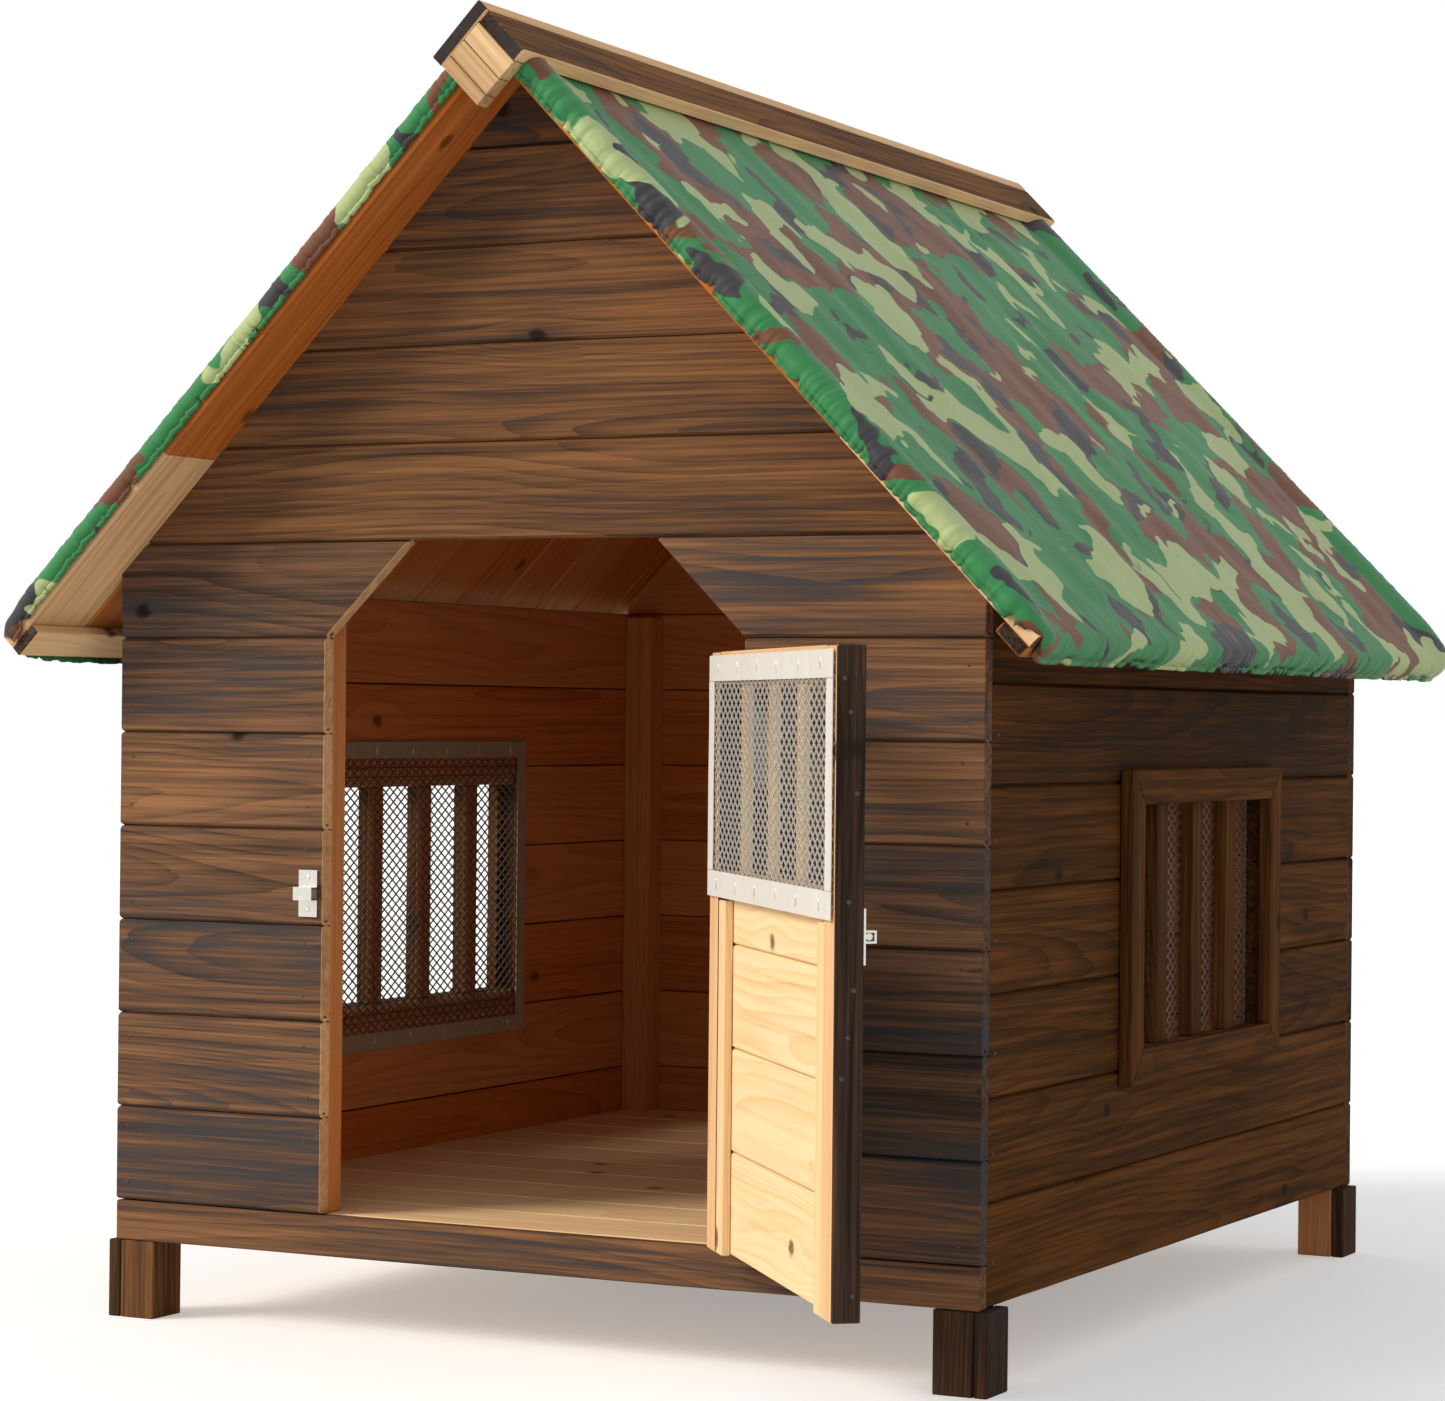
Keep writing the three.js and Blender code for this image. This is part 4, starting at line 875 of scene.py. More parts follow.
def bars(name):
    """Upright bars, and the rails that carry them behind the casing."""
    node = f"window_bars_{name}"
    own = WALL_SIDE[name]
    swap = Matrix(((0, 1, 0, 0), (1, 0, 0, 0), (0, 0, 1, 0), (0, 0, 0, 1)))
    upright = own @ swap
    across, along, out = extent(node, own)
    lap = 10 * MM
    pile = Pile(node)
    clear = (across[0] + lap, across[1] - lap)
    gap = (clear[1] - clear[0] - BAR_COUNT * BAR_WIDE) / (BAR_COUNT + 1)
    for bar in range(BAR_COUNT):
        start = clear[0] + gap + bar * (gap + BAR_WIDE)
        board(
            pile, upright, (along[0] + lap, along[1] - lap), (start, start + BAR_WIDE), out,
            finish=(CHAR, FIR, CHAR), rough=0.2 * MM, tint=(-0.06, 1.0, 0.9),
        )
    for low, high in ((along[0], along[0] + lap), (along[1] - lap, along[1])):
        board(pile, own, across, (low, high), out, finish=(CHAR, FIR, CHAR), tint=CASING)
    wooden(pile, "charred", wood_finishes(), node, arris=0.9 * MM)


def netting(node, own, finish_name="net"):
    """Expanded metal: lozenge holes in rows, each row half a lozenge over, in a slightly uneven sheet."""
    s = sizes()
    (a0, a1), (b0, b1), (c0, c1) = extent(node, own)
    columns = round((a1 - a0) / s.mesh_wide)
    lines = 2 * round((b1 - b0) / s.mesh_tall)
    wide, tall = (a1 - a0) / columns, (b1 - b0) / lines * 2
    hole = 0.83
    points, faces, index = [], [], {}
    noise = random.Random(node)
    phases = [(noise.uniform(8, 30), noise.uniform(8, 30), noise.uniform(0, 6)) for _ in range(5)]

    def corner(a, b):
        key = (round(a * 1e5), round(b * 1e5))
        if key not in index:
            index[key] = len(points)
            lift = sum(math.sin(u * a + v * b + w) for u, v, w in phases) / 5 * 0.5 * MM
            points.append(tuple(own @ Vector((a, b, (c0 + c1) / 2 + lift))))
        return index[key]

    for line in range(1, lines):
        b = b0 + line * tall / 2
        odd = line % 2
        for column in range(columns - odd):
            a = a0 + wide * (column + 0.5 + odd / 2)
            offsets = [(-wide / 2, 0), (0, -tall / 2), (wide / 2, 0), (0, tall / 2)]
            outer = [corner(a + p, b + q) for p, q in offsets]
            inner = [corner(a + hole * p, b + hole * q) for p, q in offsets]
            for i in range(4):
                j = (i + 1) % 4
                faces.append((outer[i], outer[j], inner[j], inner[i]))
    mesh = bpy.data.meshes.new(f"{node}.mesh")
    mesh.from_pydata(points, [], faces)
    mesh.materials.append(material(finish_name))
    made = in_place(f"{node}.mesh", mesh, [node])
    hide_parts(node)
    thick = made.modifiers.new("Sheet", "SOLIDIFY")
    thick.thickness = 0.8 * MM
    thick.offset = 0
    return made


def strip_frame(node, own, wide, tall, staples, staple_turn, finish_name):
    """Four flat strips round a net, each a little bowed, with the staples that hold them."""
    (a0, a1), (b0, b1), (c0, c1) = extent(node, own)
    noise = random.Random(node)
    work = bmesh.new()

    def strip(a, b, c, steps_a, steps_b):
        grid = {}
        bow = [noise.uniform(-0.15, 0.15) * MM for _ in range(max(steps_a, steps_b) + 1)]
        for i in range(steps_a + 1):
            for j in range(steps_b + 1):
                u = a[0] + (a[1] - a[0]) * i / steps_a
                v = b[0] + (b[1] - b[0]) * j / steps_b
                w = bow[max(i if steps_a > 1 else 0, j if steps_b > 1 else 0)]
                for k in (0, 1):
                    grid[i, j, k] = work.verts.new(own @ Vector((u, v, c[k] + w * k)))
        for i in range(steps_a):
            for j in range(steps_b):
                quad = [(i, j), (i + 1, j), (i + 1, j + 1), (i, j + 1)]
                for k in (0, 1):
                    work.faces.new([grid[p, q, k] for p, q in (quad if k else quad[::-1])])
        rim = [(i, 0) for i in range(steps_a)] + [(steps_a, j) for j in range(steps_b)]
        rim += [(i, steps_b) for i in range(steps_a, 0, -1)] + [(0, j) for j in range(steps_b, 0, -1)]
        for p, q in zip(rim, rim[1:] + rim[:1]):
            work.faces.new([grid[(*p, 0)], grid[(*q, 0)], grid[(*q, 1)], grid[(*p, 1)]])

    c = (c0, c1)
    strip((a0, a1), (b0, b0 + tall), c, 12, 1)
    strip((a0, a1), (b1 - tall, b1), c, 12, 1)
    strip((a0, a0 + wide), (b0 + tall + 0.3 * MM, b1 - tall - 0.3 * MM), c, 1, 8)
    strip((a1 - wide, a1), (b0 + tall + 0.3 * MM, b1 - tall - 0.3 * MM), c, 1, 8)
    bmesh.ops.recalc_face_normals(work, faces=work.faces)
    mesh = bpy.data.meshes.new(f"{node}.strips")
    work.to_mesh(mesh)
    work.free()
    mesh.materials.append(material(finish_name))
    made = in_place(f"{node}.strips", mesh, [node])
    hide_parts(node)
    worn = made.modifiers.new("Sheared edge", "BEVEL")
    worn.width, worn.segments, worn.limit_method = 0.2 * MM, 1, "ANGLE"

    wire = Pile(f"{node} staples")
    across_count, up_count = staples
    spots = []
    for i in range(across_count):
        a = a0 + (a1 - a0) * (i + 0.5) / across_count
        spots += [(a, b0 + tall / 2, staple_turn), (a, b1 - tall / 2, staple_turn)]
    for j in range(up_count):
        b = b0 + (b1 - b0) * (j + 1) / (up_count + 1)
        spots += [(a0 + wide / 2, b, not staple_turn), (a1 - wide / 2, b, not staple_turn)]
    for a, b, upright in spots:
        a += noise.uniform(-2, 2) * MM
        b += noise.uniform(-1, 1) * MM
        staple(wire, own, a, b, c1, upright)
    fasten(wire, f"{node}.staples", "zinc", node)


def staple(pile, own, a, b, face, upright, crown=9 * MM, wire=1.1 * MM):
    """The crown of a wire staple, a little domed, lying on a strip."""
    ring = [(-1, 0), (-0.7, 0.75), (0.7, 0.75), (1, 0)]
    stations = [(-0.5, 0.0), (-0.42, 0.8), (0.42, 0.8), (0.5, 0.0)]
    first = len(pile.points)
    for along, high in stations:
        for across, up in ring:
            p = along * crown
            q = across * wire / 2
            place = Vector((a + (q if upright else p), b + (p if upright else q), face + up * high * wire))
            pile.corner(own @ place)
    for i in range(len(stations) - 1):
        for j in range(3):
            k = first + 4 * i + j
            pile.face((k, k + 1, k + 5, k + 4), 0)
        k = first + 4 * i
        pile.face((k + 3, k, k + 4, k + 7), 0)


def fasten(pile, name, finish_name, node):
    """A mesh of small metal fasteners on the body of a CAD node."""
    mesh = bpy.data.meshes.new(name)
    mesh.from_pydata(pile.points, [], pile.faces)
    turn_out(mesh)
    smooth(mesh)
    mesh.materials.append(material(finish_name))
    return in_place(name, mesh, [node])


# ---------------------------------------------------------------- roof


BATTEN_TINTS = {"left": (0, 0, 0.15), "right": (0.25, 0, 1.0)}
SPLICE = 224 * MM  # from the eave up to the joint in the front roof board


def lay_roof():
    s = sizes()
    for name in SIDES:
        under = SLOPE[name] @ axes(X, -Y, -Z)
        node = f"roof_boards_{name}"
        along, across, out = extent(node, under)
        pile = Pile(node)
        first = across[1] - s.board_cover * math.ceil((across[1] - across[0]) / s.board_cover)
        for low, high in rows(*across, first, s.board_cover):
            # The first board at the front is spliced: red-brown above, newer and paler below.
            cut = along[1] - SPLICE if high == across[1] else along[1]
            parts = [((along[0], cut), (0.05, 0, 0.95))]
            if cut < along[1]:
                parts.append(((cut + 0.4 * MM, along[1]), (0, 0, 0.22)))
            for part, tint in parts:
                wall_board(
                    pile, under, part, (low, high), out, finish=(FIR, FIR, FIR), tint=tint, spread=0.1,
                    chamfer=(1.6 * MM, 2 * MM), matched=(low > across[0], high < across[1]), caps=(FIR, CHAR),
                )
        wooden(pile, "bare", wood_finishes(), node)
        node = f"eave_batten_{name}"
        level = SLOPE[name] @ axes(Y, X, -Z)
        pile = Pile(node)
        board(
            pile, level, *extent(node, level), finish=(FIR, FIR, FIR), rough=0.3 * MM,
            tint=BATTEN_TINTS[name], caps=(CHAR, CHAR), scorch=0.3,
        )
        wooden(pile, "bare", wood_finishes(), node, arris=0.8 * MM)
    pile = Pile("ridge_beam")
    board(pile, DEEP, *extent("ridge_beam", DEEP), finish=(FIR, FIR, FIR), rough=0.2 * MM, tint=INDOORS)
    wooden(pile, "bare", wood_finishes(), "ridge_beam")


def lay_ridge():
    for name in SIDES:
        node = f"ridge_cap_{name}"
        level = SLOPE[name] @ axes(Y, -X, Z)
        pile = Pile(node)
        board(pile, level, *extent(node, level), finish=(CHAR, FIR, FIR), rough=0.35 * MM, tint=(-0.16, 0.35, 0.25), caps=(CHAR, CHAR), scorch=0.5)
        wooden(pile, "charred", wood_finishes(), node, arris=0.9 * MM)
    for end in ("front", "rear"):
        node = f"ridge_end_{end}"
        along, deep, tall = extent(node, FLAT)
        half = (along[1] - along[0]) / 2
        middle = (tall[0] + tall[1]) / 2
        turn = math.atan2((tall[1] - tall[0]) / 2, half)
        square = math.hypot(half, (tall[1] - tall[0]) / 2) / 2
        own = Matrix.Translation((0, 0, middle)) @ axes(
            (math.cos(turn), 0, -math.sin(turn)), (math.sin(turn), 0, math.cos(turn)), -Y
        )
        # The CAD block is a diamond: draw it as boards glued face to face, seen on their end grain.
        pile = Pile(node)
        seams = [-square + 2 * square * share for share in (0, 0.24, 0.6, 1)]
        for low, high in zip(seams, seams[1:]):
            board(
                pile, own, (-square, square), (low + 0.3 * MM, high - 0.3 * MM), (-deep[1], -deep[0]),
                finish=(FIR, FIR, FIR), rough=0.2 * MM, tint=(0.2, 0, 0.2), spread=0.12,
            )
        wooden(pile, "bare", wood_finishes(), node, arris=0.7 * MM)


# ---------------------------------------------------------------- rain cover


COARSE = 8 * MM  # grid of the open cloth
FINE_PER_COARSE = 5  # the gathered edge is drawn this much finer
RIM = 46 * MM  # the edge strip starts this far inside the roof's outline
CORNER_STEPS = 28
CORNER_ROUND = 5.0  # power of the rounded corner: 2 is a circle and a high one is square


def ripple(q, pitch, generator):
    """A smooth random wave along a line, about one crest for each pitch, between -1 and 1."""
    count = int(np.ceil(q.max() / pitch * 2)) + 4
    knots = generator.uniform(-1, 1, count)
    at = q / pitch * 2
    low = np.floor(at).astype(int)
    share = at - low
    share = share * share * (3 - 2 * share)
    return knots[low] * (1 - share) + knots[low + 1] * share


def swells(s, y, generator, low, high, count, turns=np.pi):
    """A smooth random surface from waves between two lengths, about -1 to 1. Their crests run down the
    slope, give or take the angle `turns`."""
    total = np.zeros_like(s)
    for _ in range(count):
        turn, phase = generator.uniform(0, 2 * np.pi, 2)
        turn = np.pi / 2 + (turn / np.pi - 1) * turns
        wave = 2 * np.pi / generator.uniform(low, high)
        total += np.cos(wave * (s * np.cos(turn) + y * np.sin(turn)) + phase)
    return total / count


class RoofShape:
    """The two slopes, opened flat: s runs across from the left eave over the ridge to the right one."""

    def __init__(self):
        self.top = {}
        along, across, out = extent("roof_boards_right", SLOPE["right"])
        self.boards_top = out[1]
        self.underside = out[0]
        self.eave = along[1]
        self.front, self.rear = across
        batten = extent("eave_batten_right", SLOPE["right"])[2]
        self.batten_under = batten[0]
        # Both slope frames start at the world's origin, so the ridge is where along meets the middle line.
        self.ridge_along = -self.underside * math.tan(PITCH)

    def place(self, s, y, off):
        """World points of flat places `off` above the boards' top."""
        height = self.boards_top + off
        lean = np.exp(-((s / 0.05) ** 2))
        meet = -(height * lean + (self.boards_top + 1 * MM) * (1 - lean)) * math.tan(PITCH)
        along = np.abs(s) + meet
        x = np.sign(s) * (along * math.cos(PITCH) + height * math.sin(PITCH))
        z = -along * math.sin(PITCH) + height * math.cos(PITCH)
        x = np.where(np.abs(s) < 1e-9, 0, x)
        return np.stack([x, y, z], -1)

    def half_span(self):
        """Flat distance from the ridge line to the eave."""
        return self.eave + (self.boards_top + 1 * MM) * math.tan(PITCH)


# The cloth's way round the roof's edge, in mm: (outwards, above the boards' top, gather), where gather
# says how strongly the elastic ripples that place. At the gables it puffs into a roll that stops short of
# the boards' lower edge, and at the eaves it goes down tight past the batten.
GABLE_EDGE = (
    (-43, 0.3, 0.0), (-39, 1.6, 0.05), (-34, 4.2, 0.1), (-28, 7.2, 0.15), (-21, 9.6, 0.2), (-14, 11.0, 0.3),
    (-7, 11.2, 0.4), (-1, 9.8, 0.5), (3.6, 6.8, 0.65), (6.2, 3.0, 0.85), (6.4, -0.8, 1.1), (4.6, -4.0, 1.2),
    (3.2, -5.2, 0.7), (4.2, -6.4, 1.25), (4.6, -8.0, 1.4), (3.6, -9.2, 1.3), (1.6, -8.6, 1.1),
)
EAVE_EDGE = (
    (-43, 0.0, 0.0), (-39, 0.1, 0.03), (-34, 0.3, 0.08), (-28, 0.6, 0.15), (-21, 0.9, 0.25), (-14, 1.0, 0.35),
    (-7, 0.8, 0.45), (-1, 0.2, 0.55), (2.4, -1.8, 0.6), (4.4, -6.0, 0.7), (5.2, -11.5, 0.85), (4.4, -17.0, 1.0),
    (3.0, -20.0, 0.7), (3.8, -21.6, 0.9), (4.0, -23.6, 1.0), (3.0, -25.0, 0.9), (1.2, -24.2, 0.8),
)
GATHER_LINE = 12  # place in both where the elastic's stitches run


def cloth_so_far(edge):
    """Length of cloth from the grid's border to each place of an edge, in metres."""
    total, previous, out = 0.0, (-RIM / MM, 0.5), []
    for e, n, _ in edge:
        total += math.dist(previous, (e, n))
        previous = (e, n)
        out.append(total * MM)
    return out


def lay_cover():
    s = sizes()
    generator = np.random.default_rng(s.seed)
    roof = RoofShape()
    half = roof.half_span()
    lift = 0.7 * MM

    # The open cloth: a coarse grid inside the roof's outline.
    s_edge, y0, y1 = half - RIM, roof.front + RIM, roof.rear - RIM
    n_s = 2 * round(s_edge / COARSE)
    n_y = round((y1 - y0) / COARSE)
    ss, yy = np.meshgrid(np.linspace(-s_edge, s_edge, n_s + 1), np.linspace(y0, y1, n_y + 1), indexing="ij")
    folds = Folds(roof, generator)
    top = roof.place(ss, yy, lift + folds.stand(ss, yy))
    points = [top.reshape(-1, 3)]
    cloth = [np.stack([ss, yy, np.zeros_like(ss)], -1).reshape(-1, 3)]
    faces = []

    def core(i, j):
        return i * (n_y + 1) + j

    for i in range(n_s):
        for j in range(n_y):
            faces.append((core(i, j), core(i + 1, j), core(i + 1, j + 1), core(i, j + 1)))

    # Round the edge: each fine place has a base on the grid's border and a direction outwards.
    base_s, base_y, dir_s, dir_y, stretch, border = [], [], [], [], [], []
    sides = [
        ([(i, 0) for i in range(n_s + 1)], (0, -1)),
        ([(n_s, j) for j in range(n_y + 1)], (1, 0)),
        ([(i, n_y) for i in range(n_s, -1, -1)], (0, 1)),
        ([(0, j) for j in range(n_y, -1, -1)], (-1, 0)),
    ]
    for cells, direction in sides:
        for k in range(len(cells) - 1):
            for f in range(FINE_PER_COARSE):
                share = f / FINE_PER_COARSE
                a, b = cells[k], cells[k + 1]
                base_s.append(ss[a] * (1 - share) + ss[b] * share)
                base_y.append(yy[a] * (1 - share) + yy[b] * share)
                dir_s.append(direction[0])
                dir_y.append(direction[1])
                stretch.append(1.0)
                border.append(core(*a) if f == 0 else -1)
        corner = cells[-1]
        for step in range(CORNER_STEPS):
            turn = math.atan2(direction[1], direction[0]) + math.pi / 2 * step / CORNER_STEPS
            cos, sin = math.cos(turn), math.sin(turn)
            base_s.append(ss[corner])
            base_y.append(yy[corner])
            reach = (abs(cos) ** CORNER_ROUND + abs(sin) ** CORNER_ROUND) ** (-1 / CORNER_ROUND)
            dir_s.append(cos)
            dir_y.append(sin)
            stretch.append(reach)
            border.append(core(*corner))
    base_s, base_y, dir_s, dir_y, stretch = map(np.array, (base_s, base_y, dir_s, dir_y, stretch))
    count = len(base_s)
    steps = np.hypot(np.diff(base_s), np.diff(base_y)) + RIM * np.hypot(np.diff(dir_s), np.diff(dir_y))
    q = np.concatenate([[0], np.cumsum(steps)])
    at_eave = np.abs(dir_s) ** 2
    fine = ripple(q, s.gather_pitch, generator)
    middle = ripple(q, 3.1 * s.gather_pitch, generator)
    broad = ripple(q, 13 * s.gather_pitch, generator)
    bent = (2 * dir_s * dir_y) ** 2
    square = 1 / np.maximum(np.abs(dir_s), np.abs(dir_y))
    lengths = cloth_so_far(GABLE_EDGE), cloth_so_far(EAVE_EDGE)
    rings = []
    for k, (gable, eave) in enumerate(zip(GABLE_EDGE, EAVE_EDGE)):
        e, n, gather = (gable[m] * (1 - at_eave) + eave[m] * at_eave for m in range(3))
        so_far = lengths[0][k] * (1 - at_eave) + lengths[1][k] * at_eave
        gather = gather * (1 + 0.7 * bent)
        ruffle = 1.25 - 0.7 * at_eave
        wave = gather * (ruffle * fine + 1.25 * middle + 0.8 * broad) * MM
        outward = np.clip((k - 4) / 6, 0, 1)
        away = (RIM + e * MM + wave * outward) * stretch
        # Where the rounded corner falls short of the wood, the cloth stays on top of it.
        past = np.clip((away - RIM * square - 0.8 * MM) / (2.5 * MM), 0, 1)
        past = past * past * (3 - 2 * past)
        high = n * MM * past + np.maximum(n * MM, 0) * (1 - past)
        high = high + (np.abs(wave) * (1 - outward) * 0.8 + 0.3 * wave * outward)
        place_s = base_s + dir_s * away
        place_y = base_y + dir_y * away
        rings.append(len(points[0]) + k * count)
        points.append(roof.place(place_s, place_y, lift + high + folds.stand(place_s, place_y)))
        so_far = so_far * stretch
        cloth.append(np.stack([base_s + dir_s * so_far, base_y + dir_y * so_far, np.zeros(count)], -1))

    # Stitch the border to the first ring, many fine places to one coarse edge.
    starts = [i for i in range(count) if border[i] >= 0]
    for here, there in zip(starts, starts[1:] + [starts[0] + count]):
        arc = [rings[0] + i % count for i in range(here, there + 1)]
        a, b = border[here], border[there % count]
        faces.append((a, *arc) if a == b else (a, *arc, b))
    for ring, following in zip(rings, rings[1:]):
        for i in range(count):
            j = (i + 1) % count
            faces.append((ring + i, following + i, following + j, ring + j))

    points = np.concatenate(points)
    mesh = bpy.data.meshes.new("rain_cover.cloth")
    mesh.from_pydata(points.tolist(), [], faces)
    set_attribute(mesh, "cloth", "FLOAT_VECTOR", "vector", np.concatenate(cloth))
    smooth(mesh)
    turn_sheet_up(mesh)
    mesh.materials.append(material("cloth"))
    cover = in_place("rain_cover.cloth", mesh, ["rain_cover"])
    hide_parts("rain_cover")
    thick = cover.modifiers.new("Cloth", "SOLIDIFY")
    thick.thickness = s.cloth_thick
    thick.offset = 1
    line = points[rings[GATHER_LINE] : rings[GATHER_LINE] + count]
    out = line - points[rings[GATHER_LINE - 2] : rings[GATHER_LINE - 2] + count]
    return cover, line, points[rings[GATHER_LINE + 2] : rings[GATHER_LINE + 2] + count], out, half


def turn_sheet_up(mesh):
    """Makes an open sheet's faces look away from the roof."""
    mesh.update()
    middle = mesh.polygons[len(mesh.polygons) // 4]
    if middle.normal.z < 0:
        mesh.flip_normals()


class Folds:
    """How far the slack cloth stands off the boards at a flat place."""

    def __init__(self, roof, generator):
        self.roof = roof
        self.half = roof.half_span()
        self.slack = sizes().cloth_slack
        self.waves = np.random.default_rng(sizes().seed + 1)
        state = self.waves.bit_generator.state
        self.state = state

    def stand(self, s, y):
        share = np.clip(np.abs(s) / self.half, 0, 1)
        crown = self.slack * 4 * share * (1 - share)
        inward = np.minimum(y - self.roof.front, self.roof.rear - y)
        inward = np.minimum(inward, self.half - np.abs(s))
        fade = np.clip((inward - 6 * MM) / (60 * MM), 0, 1)
        fade = fade * fade * (3 - 2 * fade)
        under_cap = np.clip((np.abs(s) - 45 * MM) / (40 * MM), 0, 1)
        self.waves.bit_generator.state = self.state
        broad = swells(s, y, self.waves, 0.16, 0.42, 9)
        small = swells(s, y, self.waves, 0.05, 0.12, 12)
        drawn = swells(s, y, self.waves, 0.045, 0.11, 9, 0.22)
        rise = crown + (3.2 * broad + 1.6 * small + 3.0 * drawn) * MM
        return np.maximum(rise, 0.3 * MM) * fade * under_cap


def sew_hem(line, below, out):
    """A row of stitches along the elastic, sitting on the cloth."""
    pile = Pile("hem stitches")
    step = 3
    for i in range(0, len(line) - step, step):
        start, end = Vector(line[i]), Vector(line[i + 2])
        along = end - start
        if not 1 * MM < along.length < 12 * MM:
            continue
        down = Vector(below[i]) - start
        normal = along.cross(down).normalized()
        away = Vector((start.x, start.y - 0.11, 0))
        if normal.dot(away) < 0:
            normal.negate()
        start += normal * sizes().cloth_thick
        end += normal * sizes().cloth_thick
        own = axes(along.normalized(), normal.cross(along).normalized(), normal, start)
        thread = 0.5 * MM
        board(pile, own, (0, along.length), (-thread, thread), (-thread / 2, thread))
    mesh = bpy.data.meshes.new("rain_cover.stitches")
    mesh.from_pydata(pile.points, [], pile.faces)
    turn_out(mesh)
    mesh.materials.append(material("thread"))
    return in_place("rain_cover.stitches", mesh, ["rain_cover"])


# ---------------------------------------------------------------- door


def door_board(node, own, tint, arris=0.8 * MM, **how):
    pile = Pile(node)
    how.setdefault("finish", (FIR, FIR, FIR))
    board(pile, own, *extent(node, own), rough=0.2 * MM, tint=tint, spread=0.03, **how)
    slot = "charred" if "stile" in node else "bare"
    return wooden(pile, slot, wood_finishes(), node, arris=arris)


def hang_door():
    s = sizes()
    for edge in ("hinge", "free"):
        # Charred outside and on its edges, planed on the room side.
        door_board(f"door_stile_{edge}", DOOR_UPRIGHT, (0.02, 0.2, 0.38), finish=(CHAR, FIR, CHAR), burnt=0.4)
        door_board(f"door_batten_{edge}", DOOR_UPRIGHT, (0, 0, 0.08))
    door_board("door_top_rail", DOOR_LEVEL, (0, 0, 0.35), finish=(CHAR, FIR, FIR))
    door_board("door_mid_rail", DOOR_LEVEL, (0, 0, 0.1), finish=(CHAR, FIR, FIR))
    for slat in range(1, 4):
        door_board(f"door_slat_{slat}", DOOR_UPRIGHT, (0, 0, 0.05), finish=(CHAR, FIR, FIR))
    along, across, out = extent("door_boards", DOOR_LEVEL)
    pile = Pile("door_boards")
    for low, high in rows(*across, across[0], s.board_cover):
        wall_board(
            pile, DOOR_LEVEL, along, (low, high), out, finish=(CHAR, FIR, FIR), back=1.6 * MM,
            tint=(0, 0, 0.02), spread=0.04, matched=(low > across[0], high < across[1]),
        )
    wooden(pile, "bare", wood_finishes(), "door_boards")
    inner = DOOR @ axes(X, Z, Y)
    netting("door_net", inner)
    strip_frame("door_strips", inner, 16 * MM, 20 * MM, (6, 0), True, "strip")


# ---------------------------------------------------------------- fittings


def fit_hardware():
    """The pressed steel fittings keep their CAD form, with the edges that a press leaves."""
    names = [f"hinge_{end}_{part}_leaf" for end in ("lower", "upper") for part in ("wall", "door")]
    for node in [*names, "bolt_housing", "bolt_rod", "bolt_keeper"]:
        made = NODES[node]
        made.data.materials.clear()
        made.data.materials.append(material("zinc"))
        worn = made.modifiers.new("Pressed edge", "BEVEL")
        worn.width, worn.segments, worn.limit_method = 0.3 * MM, 2, "ANGLE"
        worn.angle_limit = math.radians(40)


def screw(pile, own, a, b, face, radius=2.6 * MM):
    """A domed head with a cross recess."""
    sides, rings = 16, [(1.0, 0.0), (0.92, 0.35), (0.6, 0.7), (0.3, 0.78)]
    first = len(pile.points)
    for share, high in rings:
        for i in range(sides):
            turn = 2 * math.pi * i / sides
            deep = high - (0.55 if share < 0.7 and i % 4 == 0 else 0)
            place = Vector(
                (a + radius * share * math.cos(turn), b + radius * share * math.sin(turn), face + deep * 1.2 * MM)
            )
            pile.corner(own @ place)
    for ring in range(len(rings) - 1):
        for i in range(sides):
            j = (i + 1) % sides
            low, high = first + ring * sides, first + (ring + 1) * sides
            pile.face((low + i, low + j, high + j, high + i), 0)
    pile.face(range(first + 3 * sides, first + 4 * sides), 0)
    pile.face(range(first, first + sides), 0)


def drive_screws():
    along, across, out = extent("bolt_keeper", FRONT)
    pile = Pile("keeper screws")
    middle = sum(along) / 2
    for b in (across[0] + 6 * MM, across[1] - 6 * MM):
        screw(pile, FRONT, middle, b, extent("sill_board", FRONT)[2][1] + 1.7 * MM, 2.4 * MM)
    fasten(pile, "bolt_keeper.screws", "zinc", "bolt_keeper")
    pile = Pile("bolt screws")
    along, across, out = extent("bolt_housing", DOOR_LEVEL)
    for a in (along[0] + 14 * MM, along[1] - 14 * MM):
        for b in (across[0] + 6 * MM, across[1] - 6 * MM):
            screw(pile, DOOR_LEVEL, a, b, extent("door_stile_free", DOOR_LEVEL)[2][1] + 1.7 * MM, 2.4 * MM)
    fasten(pile, "bolt_housing.screws", "zinc", "bolt_housing")
    for end in ("lower", "upper"):
        for part, own in (("wall", FRONT), ("door", DOOR_LEVEL)):
            node = f"hinge_{end}_{part}_leaf"
            along, across, out = extent(node, own)
            pile = Pile(node)
            reach = (along[1] - 9 * MM) if part == "wall" else (along[0] + 9 * MM)
            face = (extent("sill_board", FRONT) if part == "wall" else extent("door_stile_hinge", own))[2][1]
            for b in (across[0] + 10 * MM, sum(across) / 2, across[1] - 10 * MM):
                screw(pile, own, reach, b, face + 1.7 * MM, 2.6 * MM)
            fasten(pile, f"{node}.screws", "zinc", node)


